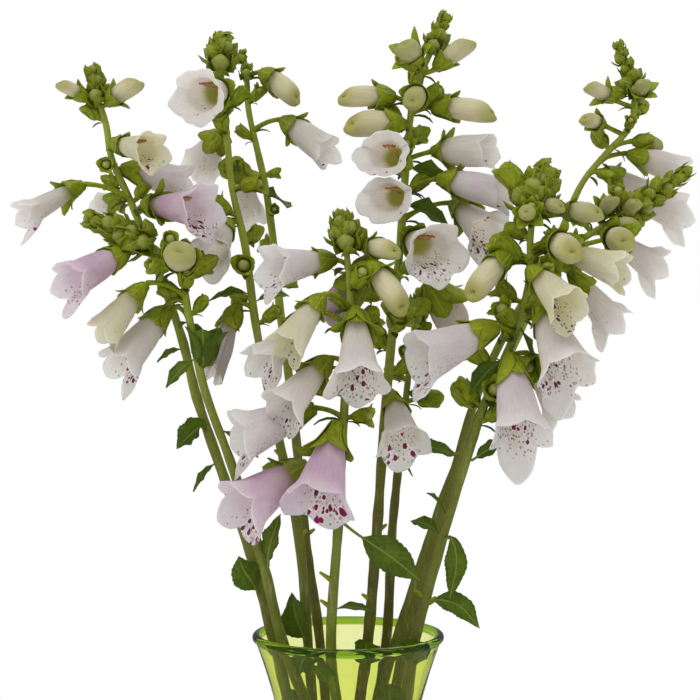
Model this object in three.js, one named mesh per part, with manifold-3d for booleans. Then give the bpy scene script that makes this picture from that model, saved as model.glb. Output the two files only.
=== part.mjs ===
// Ten cut foxglove spikes standing in a flared glass vase.
// Units are millimetres, +Z is up and the origin is the centre of the vase's underside.
// A stem, its stalks, calyces and closed buds grew as one piece and are one solid.
// Each open corolla and each large leaf is a piece of its own.
import * as THREE from "three";
import { mergeVertices } from "three/addons/utils/BufferGeometryUtils.js";
import Module from "manifold-3d";

const UP = new THREE.Vector3(0, 0, 1);
const AWAY = new THREE.Vector3(0, 1, 0);
const GAP = 0.3; // clearance between pieces that touch

// Vase
const VASE_HEIGHT = 150;
const RIM_RADIUS = 50; // to the middle of the rolled rim
const RIM_BEAD = 2.3;
const WAIST_RADIUS = 31;
const WAIST_HEIGHT = 35;
const FOOT_FLARE = 4; // how far the foot stands out past the waist
const FLARE_POWER = 2.15;
const WALL = 2.6;
const FLOOR = 10; // thickness of the heavy glass bottom
const FOOT_ROUND = 1.5; // bevel around the underside
const FLOOR_ROUND = 3; // fillet where the inside wall meets the floor
const BEAD_FROM = -30; // the rolled rim runs over these degrees of a circle
const BEAD_TO = 210;
const BEAD_STEPS = 4;
const WALL_STEPS = 6;
const VASE_SIDES = 28;

// Stems
const STEM_RADIUS = 3;
const TIP_RADIUS = 1.5;
const STEM_SIDES = 6;
const STALK_RADIUS = 1.1;
const STALK_RISE = 0.35; // how steeply a flower stalk climbs away from the stem
const STALK_RUN_IN = 0.4; // how early it turns into line with its flower, as a share of its reach
const STALK_EASE = 0.3; // how far that turn is drawn back towards the stem
const FLORET_SIDES = 5;
const TIP_BUDS = 4;
const TIP_BUD_SIDES = 4;
const TIP_BUD_SPACING = 6;
const TIP_BUD_LENGTH = 9;
const TIP_BUD_RADIUS = 2.6;
const TIP_BUD_LEAN = 0.7;
const TIP_BUD_STATIONS = [
  { along: 0, girth: 0.5 },
  { along: 0.45, girth: 1 },
  { along: 1, girth: 0.3 },
];
const GOLDEN_ANGLE = Math.PI * (3 - Math.sqrt(5));

// Leaves
const LEAF_STALK = 0.6; // half the thickness of a leaf's stalk
const LEAF_STALK_SHARE = 0.1; // the share of a leaf's length that is bare stalk
const LEAF_THICKNESS = 1.2;
const LEAF_FOLD = 0.15; // how far a blade's edges rise above its midrib, as a share of half its width
const LEAF_STATIONS = [0, 0.18, 0.4, 0.6, 0.8, 0.97];

// Corollas: the radius along the tube is a share of the mouth's radius.
const BELL_SIDES = 8;
const BELL_WALL = 1;
const BELL_STATIONS = [
  { along: 0, radius: 0.26 },
  { along: 0.2, radius: 0.46 },
  { along: 0.6, radius: 0.76 },
  { along: 1, radius: 1 },
];
const BELL_INSIDE = [1, 0.6, 0.12]; // where along the tube the inner surface's rings stand
const LIP_LENGTH = 0.2; // how far the lower lip stands past the mouth, as a share of the length
const LIP_NOTCH = 0.2; // how far the top of the mouth is cut back, as a share of the lip
const BELL_SAG = 0.05; // how far the mouth droops, as a share of the length
const CALYX_DEPTH = 0.14; // how far the calyx wraps the tube, as a share of the length
const CALYX_WALL = 1.3;
const CALYX_BACK = 3; // the green back of a calyx or bud, behind where the tube starts
const CALYX_SHOULDER = 1.6;
const CALYX_SHOULDER_WALL = 0.6; // the wall there, as a share of the calyx's own
const BUD_STATIONS = [
  { along: 0.1, girth: 0.8 },
  { along: 0.6, girth: 1 },
  { along: 1, girth: 0.4 },
];

const GREEN = { color: 0x5f7d1e, roughness: 0.6, metalness: 0 };
const LEAF_GREEN = { color: 0x4a6b1a, roughness: 0.55, metalness: 0 };
const GLASS = { color: 0xb4c83c, roughness: 0.05, metalness: 0, transparent: true, opacity: 0.5 };
const TINTS = { white: 0xddd6d3, cream: 0xd2cc9c, blush: 0xdcc8cf, lilac: 0xc8a8c4, dried: 0xa39aa0 };

// A floret's calyx stands at a point. It faces a compass bearing in degrees, with 0 along +X and 90
// along +Y, and dips below the level. Its length runs to the mouth, and its width is across the mouth.
function bell(tint, calyx, bearing, dip, length, width) {
  return { open: true, tint, calyx: new THREE.Vector3(...calyx), bearing, dip, length, width };
}

function bud(calyx, bearing, dip, length, width) {
  return { open: false, calyx: new THREE.Vector3(...calyx), bearing, dip, length, width };
}

// Each spike: where its stem stands on the vase's floor, its route from there to the tip, and its florets.
const SPIKES = {
  spike_far_left: {
    foot: [-7, -21],
    route: [[-26, -5, 85], [-42, 5, 148], [-54, 0, 195], [-68, -4, 236], [-82, -4, 277], [-91, -3, 312],
      [-106, 0, 353], [-119, 2, 385], [-129, 0, 408], [-132, -2, 427], [-137, -3, 443], [-138, -4, 452]],
    florets: [
      bud([-143, -6, 441], 225, -25, 17, 8),
      bud([-130, -4, 439], 330, -30, 22, 11),
      bell("cream", [-126, -8, 415], 315, 8, 34, 22),
      bell("blush", [-123, 5, 403], 357, 10, 38, 24),
      bell("white", [-146, -4, 393], 212, 27, 38, 20),
      bell("white", [-125, 8, 387], 125, 0, 24, 15),
      bell("lilac", [-109, -9, 382], 322, 3, 44, 30),
    ],
  },
  spike_left: {
    foot: [18, 1],
    route: [[-35, -12, 146], [-46, -16, 191], [-61, -22, 240], [-76, -26, 283], [-84, -28, 321],
      [-89, -28, 345], [-104, -28, 359], [-119, -30, 366], [-128, -32, 370]],
    florets: [
      bud([-88, -30, 350], 275, -15, 22, 17),
      bell("lilac", [-118, -30, 355], 228, 22, 42, 24),
      bell("cream", [-108, -32, 337], 203, 46, 34, 20),
      bell("white", [-98, -12, 325], 217, 43, 42, 24),
    ],
  },
  spike_mid_left: {
    foot: [-13, -7],
    route: [[-23, 21, 146], [-28, 20, 202], [-41, 18, 265], [-51, 14, 316], [-57, 12, 361],
      [-64, 12, 392], [-67, 12, 420], [-69, 12, 443], [-71, 12, 465], [-70, 12, 477]],
    florets: [
      bell("white", [-68, 4, 446], 248, 10, 34, 29),
      bell("white", [-71, 18, 425], 115, 20, 34, 24),
      bell("white", [-61, 26, 409], 80, 50, 36, 20),
      bell("white", [-66, 8, 374], 250, 35, 32, 25),
      bell("dried", [-62, 12, 327], 215, 62, 40, 14),
    ],
  },
  spike_back_left: {
    foot: [-2, -15],
    route: [[-17, 34, 146], [-24, 38, 193], [-31, 42, 264], [-39, 45, 325], [-42, 45, 358],
      [-47, 42, 395], [-51, 40, 414], [-57, 40, 441], [-58, 40, 458], [-60, 40, 473]],
    florets: [
      bud([-48, 36, 461], 330, 30, 27, 13),
      bell("white", [-36, 36, 434], 325, 30, 37, 19),
    ],
  },
  spike_front: {
    foot: [10, -17],
    route: [[-9, -28, 146], [-5, -36, 215], [-2, -42, 273], [1, -44, 329], [-1, -45, 356],
      [-3, -46, 370]],
    florets: [
      bud([9, -40, 358], 318, 5, 21, 11),
      bud([12, -46, 347], 315, 40, 31, 13.5),
      bud([9, -33, 343], 150, 38, 30, 18),
      bell("blush", [-9, -36, 351], 213, 6, 38, 28),
      bell("cream", [-14, -60, 330], 216, 47, 34, 21),
      bell("white", [-22, -36, 322], 216, 40, 40, 25),
      bell("white", [4, -56, 323], 273, 54, 44, 30),
      bell("white", [-11, -52, 298], 218, 38, 40, 27),
      bell("blush", [-20, -42, 273], 196, 18, 43, 33),
      bell("lilac", [-6, -56, 264], 243, 58, 44, 37),
      bell("lilac", [-24, -40, 243], 213, 26, 44, 35),
    ],
  },
  spike_centre: {
    foot: [-7, 21],
    route: [[11, 6, 146], [16, 8, 206], [20, 8, 265], [25, 8, 321], [29, 6, 367], [32, 4, 408],
      [35, 2, 438], [39, 0, 453], [46, 0, 469], [50, 0, 480]],
    florets: [
      bud([38, -6, 462], 236, -20, 17, 13),
      bud([49, 0, 459], 330, -35, 23, 11),
      bud([39, -6, 444], 248, 25, 15, 12),
      bud([23, -2, 442], 210, 0, 30, 12),
      bud([28, -4, 427], 210, 0, 31, 15),
      bud([48, 2, 437], 330, 5, 35, 13),
      bell("white", [48, 4, 413], 325, 1, 36, 19),
      bell("white", [28, -6, 407], 252, -3, 33, 24.2),
      bell("white", [30, -6, 388], 250, 6, 33, 24.2),
      bell("blush", [51, -2, 397], 326, 12, 43, 20),
      bell("white", [33, -10, 364], 290, 12, 40, 33),
      bell("white", [59, 10, 384], 308, 30, 36, 30),
    ],
  },
  spike_behind: {
    foot: [3, 5],
    route: [[22, 26, 146], [25, 28, 204], [32, 32, 270], [37, 34, 313], [40, 34, 332]],
    florets: [
      bell("white", [24, -14, 279], 284, 46, 34, 29),
      bud([47, 28, 340], 40, 45, 34, 21),
    ],
  },
  spike_right: {
    foot: [17, 9],
    route: [[35, -19, 146], [49, -24, 200], [62, -30, 246], [73, -34, 279], [87, -38, 312],
      [94, -40, 338], [95, -40, 364], [98, -40, 387], [100, -40, 395]],
    florets: [
      bud([93, -46, 374], 260, -5, 14, 9),
      bud([100, -40, 380], 305, 5, 17, 8),
      bud([113, -38, 376], 315, 0, 22, 11),
      bud([82, -44, 353], 220, 35, 32, 13.5),
      bud([106, -48, 360], 292, 15, 21, 14.5),
      bell("cream", [112, -36, 356], 330, 17, 37, 21),
      bell("cream", [94, -58, 344], 303, 32, 36, 23),
      bell("white", [119, -26, 344], 20, 45, 36, 25),
      bell("white", [99, -48, 326], 297, 50, 45, 33),
      bell("blush", [83, -52, 299], 278, 55, 48, 31),
      bell("white", [96, -32, 300], 25, 52, 34, 24),
      bell("blush", [74, -54, 315], 200, 19, 48, 33),
    ],
  },
  spike_far_right: {
    foot: [-14, 1],
    route: [[28, 15, 146], [39, 17, 179], [57, 20, 231], [78, 22, 277], [97, 24, 315],
      [116, 28, 360], [131, 30, 396], [145, 30, 414], [159, 30, 430], [162, 30, 448], [157, 30, 465]],
    florets: [
      bud([149, 28, 446], 215, -20, 20, 9),
      bud([143, 26, 431], 225, -10, 17, 9),
      bud([164, 30, 447], 275, -35, 14, 9),
      bud([163, 30, 422], 20, 0, 15, 9),
      bell("white", [161, 34, 415], 338, 18, 33, 17),
      bell("white", [146, 34, 405], 30, 15, 32, 16),
    ],
  },
  spike_arching: {
    foot: [5, -11],
    route: [[31, -3, 146], [41, -3, 179], [55, -4, 228], [68, -6, 274], [82, -8, 307],
      [101, -8, 339], [120, -6, 359], [140, -2, 372], [159, 0, 383], [173, 0, 393]],
    florets: [
      bud([142, -14, 364], 280, 5, 18, 14.5),
      bud([138, -2, 377], 290, -40, 16, 9),
      bud([149, -2, 378], 295, -25, 16, 8),
      bud([143, -6, 372], 315, 0, 17, 9),
      bell("white", [156, 14, 388], 18, 12, 33, 27),
      bell("white", [143, 8, 367], 15, 28, 35, 25),
    ],
  },
};

// Each leaf: the spike it grows on, the height it leaves the stem at, and the points its midrib passes.
// A roll of 0 lays the blade level, and a quarter turn stands it on edge.
const LEAVES = {
  leaf_left: {
    spike: "spike_far_left", height: 260, rib: [[-80, -10, 263], [-87, -14, 257], [-92, -16, 251]],
    width: 17, roll: 60,
  },
  leaf_broad: {
    spike: "spike_far_left", height: 172, rib: [[-53, -6, 179], [-57, -10, 186], [-59, -12, 193]],
    width: 17, roll: 65,
  },
  leaf_clasping: {
    spike: "spike_left", height: 188, rib: [[-42, -22, 198], [-39, -24, 208], [-36, -24, 217]],
    width: 13, roll: 75,
  },
  leaf_in_mouth: {
    spike: "spike_mid_left", height: 141, rib: [[-27, 12, 150], [-30, 6, 161], [-31, 3, 171]],
    width: 19, roll: 75,
  },
  leaf_dark: {
    spike: "spike_front", height: 214, rib: [[4, -43, 209], [12, -46, 204], [25, -47, 195], [37, -46, 185]],
    width: 17, roll: 70,
  },
  leaf_hanging: {
    spike: "spike_right", height: 200, rib: [[53, -30, 205], [58, -33, 201], [58, -34, 189], [54, -34, 177]],
    width: 11, roll: 80,
  },
  leaf_low: {
    spike: "spike_right", height: 170, rib: [[48, -28, 172], [59, -32, 169], [69, -34, 158]],
    width: 13, roll: 50,
  },
  leaf_inner: {
    spike: "spike_right", height: 249, rib: [[56, -24, 249], [45, -14, 252], [30, -6, 254]],
    width: 10, roll: 55,
  },
  leaf_right: {
    spike: "spike_right", height: 247, rib: [[71, -33, 250], [77, -36, 254], [82, -38, 259]],
    width: 10, roll: 55,
  },
};

function degrees(angle) {
  return THREE.MathUtils.degToRad(angle);
}

// A closed skin over rings of equal count, each running counter-clockwise about the way they follow.
function skin(rings) {
  const sides = rings[0].length;
  const points = rings.flat();
  const first = points.push(centroid(rings[0])) - 1;
  const last = points.push(centroid(rings.at(-1))) - 1;
  const faces = [];
  for (let side = 0; side < sides; side += 1) {
    const next = (side + 1) % sides;
    for (let ring = 0; ring < rings.length - 1; ring += 1) {
      const low = ring * sides;
      const high = low + sides;
      faces.push(low + side, low + next, high + next);
      faces.push(low + side, high + next, high + side);
    }
    const end = (rings.length - 1) * sides;
    faces.push(first, next, side);
    faces.push(last, end + side, end + next);
  }
  const geometry = new THREE.BufferGeometry().setFromPoints(points);
  geometry.setIndex(faces);
  return geometry;
}

function centroid(ring) {
  const middle = new THREE.Vector3();
  for (const point of ring) {
    middle.add(point);
  }
  return middle.divideScalar(ring.length);
}

// Points of a circle about an axis, starting at the side direction and turning towards the top.
function circle(centre, frame, radius, sides) {
  const points = [];
  for (let index = 0; index < sides; index += 1) {
    const angle = (2 * Math.PI * index) / sides;
    const point = centre.clone();
    point.addScaledVector(frame.side, radius * Math.cos(angle));
    point.addScaledVector(frame.top, radius * Math.sin(angle));
    points.push(point);
  }
  return points;
}

// Directions across an axis: side is level, and top completes the right-handed set.
function frameAlong(axis, reference = UP) {
  const side = reference.clone().cross(axis).normalize();
  const top = axis.clone().cross(side);
  return { axis, side, top };
}

function floretFrame(floret) {
  const bearing = degrees(floret.bearing);
  const dip = degrees(floret.dip);
  const level = Math.cos(dip);
  const axis = new THREE.Vector3(level * Math.cos(bearing), level * Math.sin(bearing), -Math.sin(dip));
  return frameAlong(axis);
}

// A tapering round rod along points.
function rod(points, radii, sides, reference) {
  const rings = points.map((point, index) => {
    const before = points[Math.max(index - 1, 0)];
    const after = points[Math.min(index + 1, points.length - 1)];
    const axis = after.clone().sub(before).normalize();
    return circle(point, frameAlong(axis, reference), radii[index], sides);
  });
  return skin(rings);
}

// A stem runs straight from one point of its route to the next.
function stemCurve(spike) {
  const points = spike.route.map((point) => new THREE.Vector3(...point));
  const foot = new THREE.Vector3(...spike.foot, FLOOR);
  const run = points[0].clone().sub(foot);
  const lean = Math.hypot(run.x, run.y) / run.length();
  foot.z += GAP + STEM_RADIUS * lean;
  points.unshift(foot);
  const path = new THREE.CurvePath();
  for (let index = 1; index < points.length; index += 1) {
    path.add(new THREE.LineCurve3(points[index - 1], points[index]));
  }
  return path;
}

function stemRadius(share) {
  return THREE.MathUtils.lerp(STEM_RADIUS, TIP_RADIUS, share * share);
}

// The point of a stem at a height, and how far along the stem it is.
function stemPoint(curve, height) {
  let low = 0;
  let high = 1;
  for (let step = 0; step < 20; step += 1) {
    const middle = (low + high) / 2;
    if (curve.getPoint(middle).z < height) {
      low = middle;
    } else {
      high = middle;
    }
  }
  return { point: curve.getPoint(low), share: low };
}

function stem(curve) {
  const points = [curve.curves[0].v1, ...curve.curves.map((run) => run.v2)];
  const lengths = [0, ...curve.getCurveLengths()];
  const radii = lengths.map((length) => stemRadius(length / curve.getLength()));
  return rod(points, radii, STEM_SIDES, AWAY);
}

// The stalk's rings, from inside the stem to just behind the calyx.
function stalkRings(curve, floret, frame) {
  const back = floret.calyx.clone().addScaledVector(frame.axis, -CALYX_BACK);
  const distance = stemPoint(curve, back.z).point.distanceTo(back);
  const root = stemPoint(curve, back.z - STALK_RISE * distance).point;
  const bend = back.clone().addScaledVector(frame.axis, -distance * STALK_RUN_IN).lerp(root, STALK_EASE);
  const path = new THREE.QuadraticBezierCurve3(root, bend, back);
  return [0, 0.5].map((share) => {
    const axis = path.getTangent(share);
    return circle(path.getPoint(share), frameAlong(axis), STALK_RADIUS, FLORET_SIDES);
  });
}

function bellRadius(floret, along) {
  const half = floret.width / 2;
  for (let index = 1; index < BELL_STATIONS.length; index += 1) {
    const low = BELL_STATIONS[index - 1];
    const high = BELL_STATIONS[index];
    if (along <= high.along) {
      const share = (along - low.along) / (high.along - low.along);
      return half * THREE.MathUtils.lerp(low.radius, high.radius, share);
    }
  }
  return half;
}

function bellCentre(floret, frame, along) {
  const centre = floret.calyx.clone().addScaledVector(frame.axis, along * floret.length);
  return centre.addScaledVector(frame.top, -BELL_SAG * floret.length * along * along);
}

// The calyx is a cup that the tube of the corolla stands in.
function calyxRings(floret, frame) {
  const snug = 1 / Math.cos(Math.PI / FLORET_SIDES);
  const inner = (along) => (bellRadius(floret, along) + GAP) * snug + GAP;
  const ring = (along, radius) => circle(bellCentre(floret, frame, along), frame, radius, FLORET_SIDES);
  const floorOffset = -GAP / floret.length;
  return [
    ring(-CALYX_BACK / floret.length, STALK_RADIUS),
    ring(-CALYX_SHOULDER / floret.length, inner(0) + CALYX_WALL * CALYX_SHOULDER_WALL),
    ring(CALYX_DEPTH, inner(CALYX_DEPTH) + CALYX_WALL),
    ring(CALYX_DEPTH, inner(CALYX_DEPTH)),
    ring(floorOffset, inner(0)),
  ];
}

function budRings(floret, frame) {
  const ring = (along, radius) => circle(bellCentre(floret, frame, along), frame, radius, FLORET_SIDES);
  const body = BUD_STATIONS.map(({ along, girth }) => ring(along, (girth * floret.width) / 2));
  return [ring(-CALYX_BACK / floret.length, STALK_RADIUS), ...body];
}

function floretGreen(curve, floret) {
  const frame = floretFrame(floret);
  const head = floret.open ? calyxRings(floret, frame) : budRings(floret, frame);
  return skin([...stalkRings(curve, floret, frame), ...head]);
}

function tipBud(curve, index) {
  const share = 1 - (index * TIP_BUD_SPACING) / curve.getLength();
  const base = curve.getPointAt(share);
  const along = curve.getTangentAt(share);
  const across = frameAlong(along, AWAY);
  const angle = index * GOLDEN_ANGLE;
  const lean = index === 0 ? 0 : TIP_BUD_LEAN;
  const axis = along.clone();
  axis.addScaledVector(across.side, lean * Math.cos(angle));
  axis.addScaledVector(across.top, lean * Math.sin(angle));
  const frame = frameAlong(axis.normalize(), AWAY);
  const rings = TIP_BUD_STATIONS.map((station) => {
    const centre = base.clone().addScaledVector(frame.axis, station.along * TIP_BUD_LENGTH);
    return circle(centre, frame, station.girth * TIP_BUD_RADIUS, TIP_BUD_SIDES);
  });
  return skin(rings);
}

// The corolla: a bell with an open mouth and a longer lower lip, as a wall of even thickness.
function corolla(floret) {
  const frame = floretFrame(floret);
  const ring = (along, inset) => {
    const radius = bellRadius(floret, along) - inset;
    const points = circle(bellCentre(floret, frame, along), frame, radius, BELL_SIDES);
    if (along === 1) {
      points.forEach((point, index) => {
        const low = 0.5 - 0.5 * Math.sin((2 * Math.PI * index) / BELL_SIDES);
        point.addScaledVector(frame.axis, LIP_LENGTH * floret.length * (low * low - LIP_NOTCH));
      });
    }
    return points;
  };
  const outside = BELL_STATIONS.map(({ along }) => ring(along, 0));
  const inside = BELL_INSIDE.map((along) => ring(along, BELL_WALL));
  return skin([...outside, ...inside]);
}

function vaseRadius(height) {
  if (height < WAIST_HEIGHT) {
    return WAIST_RADIUS + FOOT_FLARE * (1 - height / WAIST_HEIGHT) ** 2;
  }
  const rise = (height - WAIST_HEIGHT) / (VASE_HEIGHT - RIM_BEAD - WAIST_HEIGHT);
  return WAIST_RADIUS + (RIM_RADIUS + WALL / 2 - WAIST_RADIUS) * rise ** FLARE_POWER;
}

function vase() {
  const top = VASE_HEIGHT - 2 * RIM_BEAD;
  const profile = [new THREE.Vector2(0, 0), new THREE.Vector2(vaseRadius(0) - FOOT_ROUND, 0)];
  for (let step = 0; step <= WALL_STEPS; step += 1) {
    const height = THREE.MathUtils.lerp(FOOT_ROUND, top, step / WALL_STEPS);
    profile.push(new THREE.Vector2(vaseRadius(height), height));
  }
  for (let step = 0; step <= BEAD_STEPS; step += 1) {
    const angle = degrees(THREE.MathUtils.lerp(BEAD_FROM, BEAD_TO, step / BEAD_STEPS));
    const radius = RIM_RADIUS + RIM_BEAD * Math.cos(angle);
    profile.push(new THREE.Vector2(radius, VASE_HEIGHT - RIM_BEAD + RIM_BEAD * Math.sin(angle)));
  }
  for (let step = 0; step <= WALL_STEPS; step += 1) {
    const height = THREE.MathUtils.lerp(top, FLOOR + FLOOR_ROUND, step / WALL_STEPS);
    profile.push(new THREE.Vector2(vaseRadius(height) - WALL, height));
  }
  profile.push(new THREE.Vector2(vaseRadius(FLOOR) - WALL - FLOOR_ROUND, FLOOR));
  profile.push(new THREE.Vector2(0, FLOOR));
  const geometry = new THREE.LatheGeometry(profile, VASE_SIDES);
  return geometry.rotateX(Math.PI / 2);
}

// A leaf: a stalk that widens into a thin blade folded along its midrib and ends in a point.
function leaf(curve, { height, rib, width, roll }) {
  const start = stemPoint(curve, height);
  const outward = new THREE.Vector3(...rib[0]).sub(start.point);
  outward.projectOnPlane(curve.getTangent(start.share));
  const reach = stemRadius(start.share) + GAP + LEAF_STALK;
  const seat = start.point.clone().addScaledVector(outward.normalize(), reach);
  const midrib = new THREE.CatmullRomCurve3([seat, ...rib.map((point) => new THREE.Vector3(...point))]);
  const middle = frameAlong(midrib.getTangentAt(0.5));
  const sideways = middle.side.applyAxisAngle(middle.axis, degrees(roll));
  const rings = LEAF_STATIONS.map((share) => {
    const axis = midrib.getTangentAt(share);
    const across = sideways.clone().projectOnPlane(axis).normalize();
    const out = axis.clone().cross(across);
    const spread = THREE.MathUtils.clamp((share - LEAF_STALK_SHARE) / (1 - LEAF_STALK_SHARE), 0, 1);
    const half = Math.max(LEAF_STALK, (width / 2) * Math.sin(Math.PI * spread));
    const centre = midrib.getPointAt(share);
    const at = (aside, lift) => centre.clone().addScaledVector(across, aside).addScaledVector(out, lift);
    const fold = LEAF_FOLD * half;
    return [at(half, fold), at(0, LEAF_THICKNESS / 2), at(-half, fold), at(0, -LEAF_THICKNESS / 2)];
  });
  return skin(rings);
}

const wasm = await Module();
wasm.setup();

function solid(geometry) {
  const plain = new THREE.BufferGeometry();
  plain.setAttribute("position", geometry.getAttribute("position"));
  plain.setIndex(geometry.index);
  const merged = mergeVertices(plain);
  const vertProperties = new Float32Array(merged.getAttribute("position").array);
  const triVerts = new Uint32Array(merged.index.array);
  return new wasm.Manifold(new wasm.Mesh({ numProp: 3, vertProperties, triVerts }));
}

function joined(geometries) {
  const whole = geometries.map(solid).reduce((sum, next) => sum.add(next));
  const mesh = whole.getMesh();
  const geometry = new THREE.BufferGeometry();
  geometry.setAttribute("position", new THREE.BufferAttribute(mesh.vertProperties, 3));
  geometry.setIndex(new THREE.BufferAttribute(mesh.triVerts, 1));
  return geometry;
}

const group = new THREE.Group();

function add(name, geometry, finish) {
  geometry.computeVertexNormals();
  const mesh = new THREE.Mesh(geometry, new THREE.MeshStandardMaterial(finish));
  mesh.name = name;
  group.add(mesh);
}

add("vase", vase(), GLASS);

for (const [name, spike] of Object.entries(SPIKES)) {
  const curve = stemCurve(spike);
  const greens = spike.florets.map((floret) => floretGreen(curve, floret));
  const tips = Array.from({ length: TIP_BUDS + 1 }, (_, index) => tipBud(curve, index));
  add(`${name}_stem`, joined([stem(curve), ...greens, ...tips]), GREEN);
  spike.florets.filter((floret) => floret.open).forEach((floret, index) => {
    const finish = { color: TINTS[floret.tint], roughness: 0.7, metalness: 0 };
    add(`${name}_corolla_${index + 1}`, corolla(floret), finish);
  });
}

for (const [name, shape] of Object.entries(LEAVES)) {
  add(name, leaf(stemCurve(SPIKES[shape.spike]), shape), LEAF_GREEN);
}

export default group;
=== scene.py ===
"""Ten cut foxglove spikes in a green glass vase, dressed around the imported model.

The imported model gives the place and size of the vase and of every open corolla. The routes of the
stems and the places of the closed buds and leaves are repeated here. Lengths are in metres, angles
of the plan are in degrees, +Z is up and the front of the arrangement faces -Y.
"""
import logging
import math
import random
from dataclasses import dataclass
from enum import Enum
from functools import partialmethod
from typing import Any, Callable, Iterable, Sequence

import bpy
import numpy as np
from mathutils import Matrix


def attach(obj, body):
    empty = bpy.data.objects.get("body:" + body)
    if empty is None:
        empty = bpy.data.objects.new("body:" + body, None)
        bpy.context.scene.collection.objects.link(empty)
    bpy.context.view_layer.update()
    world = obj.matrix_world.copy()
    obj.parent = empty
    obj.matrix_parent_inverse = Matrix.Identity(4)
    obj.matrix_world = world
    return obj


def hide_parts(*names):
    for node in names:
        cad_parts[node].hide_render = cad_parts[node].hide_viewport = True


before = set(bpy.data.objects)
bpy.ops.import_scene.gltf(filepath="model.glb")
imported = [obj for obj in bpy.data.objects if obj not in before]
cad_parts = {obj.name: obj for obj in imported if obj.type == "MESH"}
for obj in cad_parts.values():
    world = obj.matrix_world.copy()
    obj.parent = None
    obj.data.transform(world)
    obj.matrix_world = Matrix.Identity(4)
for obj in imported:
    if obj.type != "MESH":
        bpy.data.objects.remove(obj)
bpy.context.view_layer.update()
LOG = logging.getLogger("foxglove")
UP = np.array((0.0, 0.0, 1.0))
AWAY = np.array((0.0, 1.0, 0.0))
GOLDEN_ANGLE = math.pi * (3 - math.sqrt(5))
TINY = 1e-12
WHITE_LIGHT = (1, 1, 1, 1)
Point = tuple[float, float, float]
Colour = tuple[float, float, float, float]
Inputs = dict[str | int, Any]
Values = float | np.ndarray


# Numbers and directions

def unit(vector: np.ndarray) -> np.ndarray:
    """Scale a vector to length one."""
    return vector / np.linalg.norm(vector)


def square(vector: np.ndarray, axis: np.ndarray) -> np.ndarray:
    """Give the direction of the part of a vector that is square to an axis."""
    return unit(vector - axis * (vector @ axis))


def turns(count: int) -> np.ndarray:
    """Give evenly spaced angles all the way round."""
    return np.arange(count) * 2 * math.pi / count


def level_ring(radius: float | np.ndarray, height: float, angles: np.ndarray) -> np.ndarray:
    """Give points round the upright axis, at one height."""
    return np.stack((radius * np.cos(angles), radius * np.sin(angles), np.full(len(angles), height)), axis=1)


def ease(low: float, high: float, value: np.ndarray | float) -> np.ndarray | float:
    """Rise smoothly from 0 at low to 1 at high."""
    share = np.clip((value - low) / (high - low), 0.0, 1.0)
    return share * share * (3 - 2 * share)


def smooth_line(points: Sequence[Point], count: int, steps: int = 12) -> np.ndarray:
    """Draw a smooth curve through points, evenly spaced.

    Args:
        points: The points that the curve passes through.
        count: How many points to return.
        steps: How finely each stretch is measured.

    Returns:
        The points of the curve, one a row.
    """
    knots = np.array(points, float)
    padded = np.vstack((2 * knots[0] - knots[1], knots, 2 * knots[-1] - knots[-2]))
    fine = []
    for index in range(len(knots) - 1):
        before, start, end, after = padded[index:index + 4]
        share = np.linspace(0, 1, steps, endpoint=False)[:, None]
        fine.append(0.5 * (
            2 * start + (end - before) * share
            + (2 * before - 5 * start + 4 * end - after) * share ** 2
            + (3 * start - before - 3 * end + after) * share ** 3
        ))
    line = np.vstack((*fine, knots[-1:]))
    length = np.concatenate(([0], np.cumsum(np.linalg.norm(np.diff(line, axis=0), axis=1))))
    stations = np.linspace(0, length[-1], count)
    return np.stack([np.interp(stations, length, line[:, axis]) for axis in range(3)], axis=1)


@dataclass(frozen=True)
class Axes:
    """Three directions at right angles: where a thing points, its level side and its top."""

    axis: np.ndarray
    side: np.ndarray
    top: np.ndarray

    @classmethod
    def along(cls, axis: np.ndarray, reference: np.ndarray = UP) -> "Axes":
        """Set the side square to an axis and a reference direction."""
        axis = unit(axis)
        side = unit(np.cross(reference, axis))
        return cls(axis, side, np.cross(axis, side))

    @classmethod
    def facing(cls, bearing: float, dip: float) -> "Axes":
        """Face a bearing, with 0 along +X and 90 along +Y, and dip below the level."""
        turn, drop = math.radians(bearing), math.radians(dip)
        level = math.cos(drop)
        return cls.along(np.array((level * math.cos(turn), level * math.sin(turn), -math.sin(drop))))

    def rolled(self, angle: float) -> "Axes":
        """Turn the side and top about the axis by an angle in radians."""
        cosine, sine = math.cos(angle), math.sin(angle)
        return Axes(self.axis, self.side * cosine + self.top * sine, self.top * cosine - self.side * sine)

    def euler(self) -> tuple[float, float, float]:
        """Give the turn that carries +Z onto the axis, +X onto the side and +Y onto the top."""
        columns = np.stack((self.side, self.top, self.axis), axis=1)
        return tuple(Matrix(columns.tolist()).to_euler())


Spot = tuple[np.ndarray, Axes, float]


# Meshes

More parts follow.
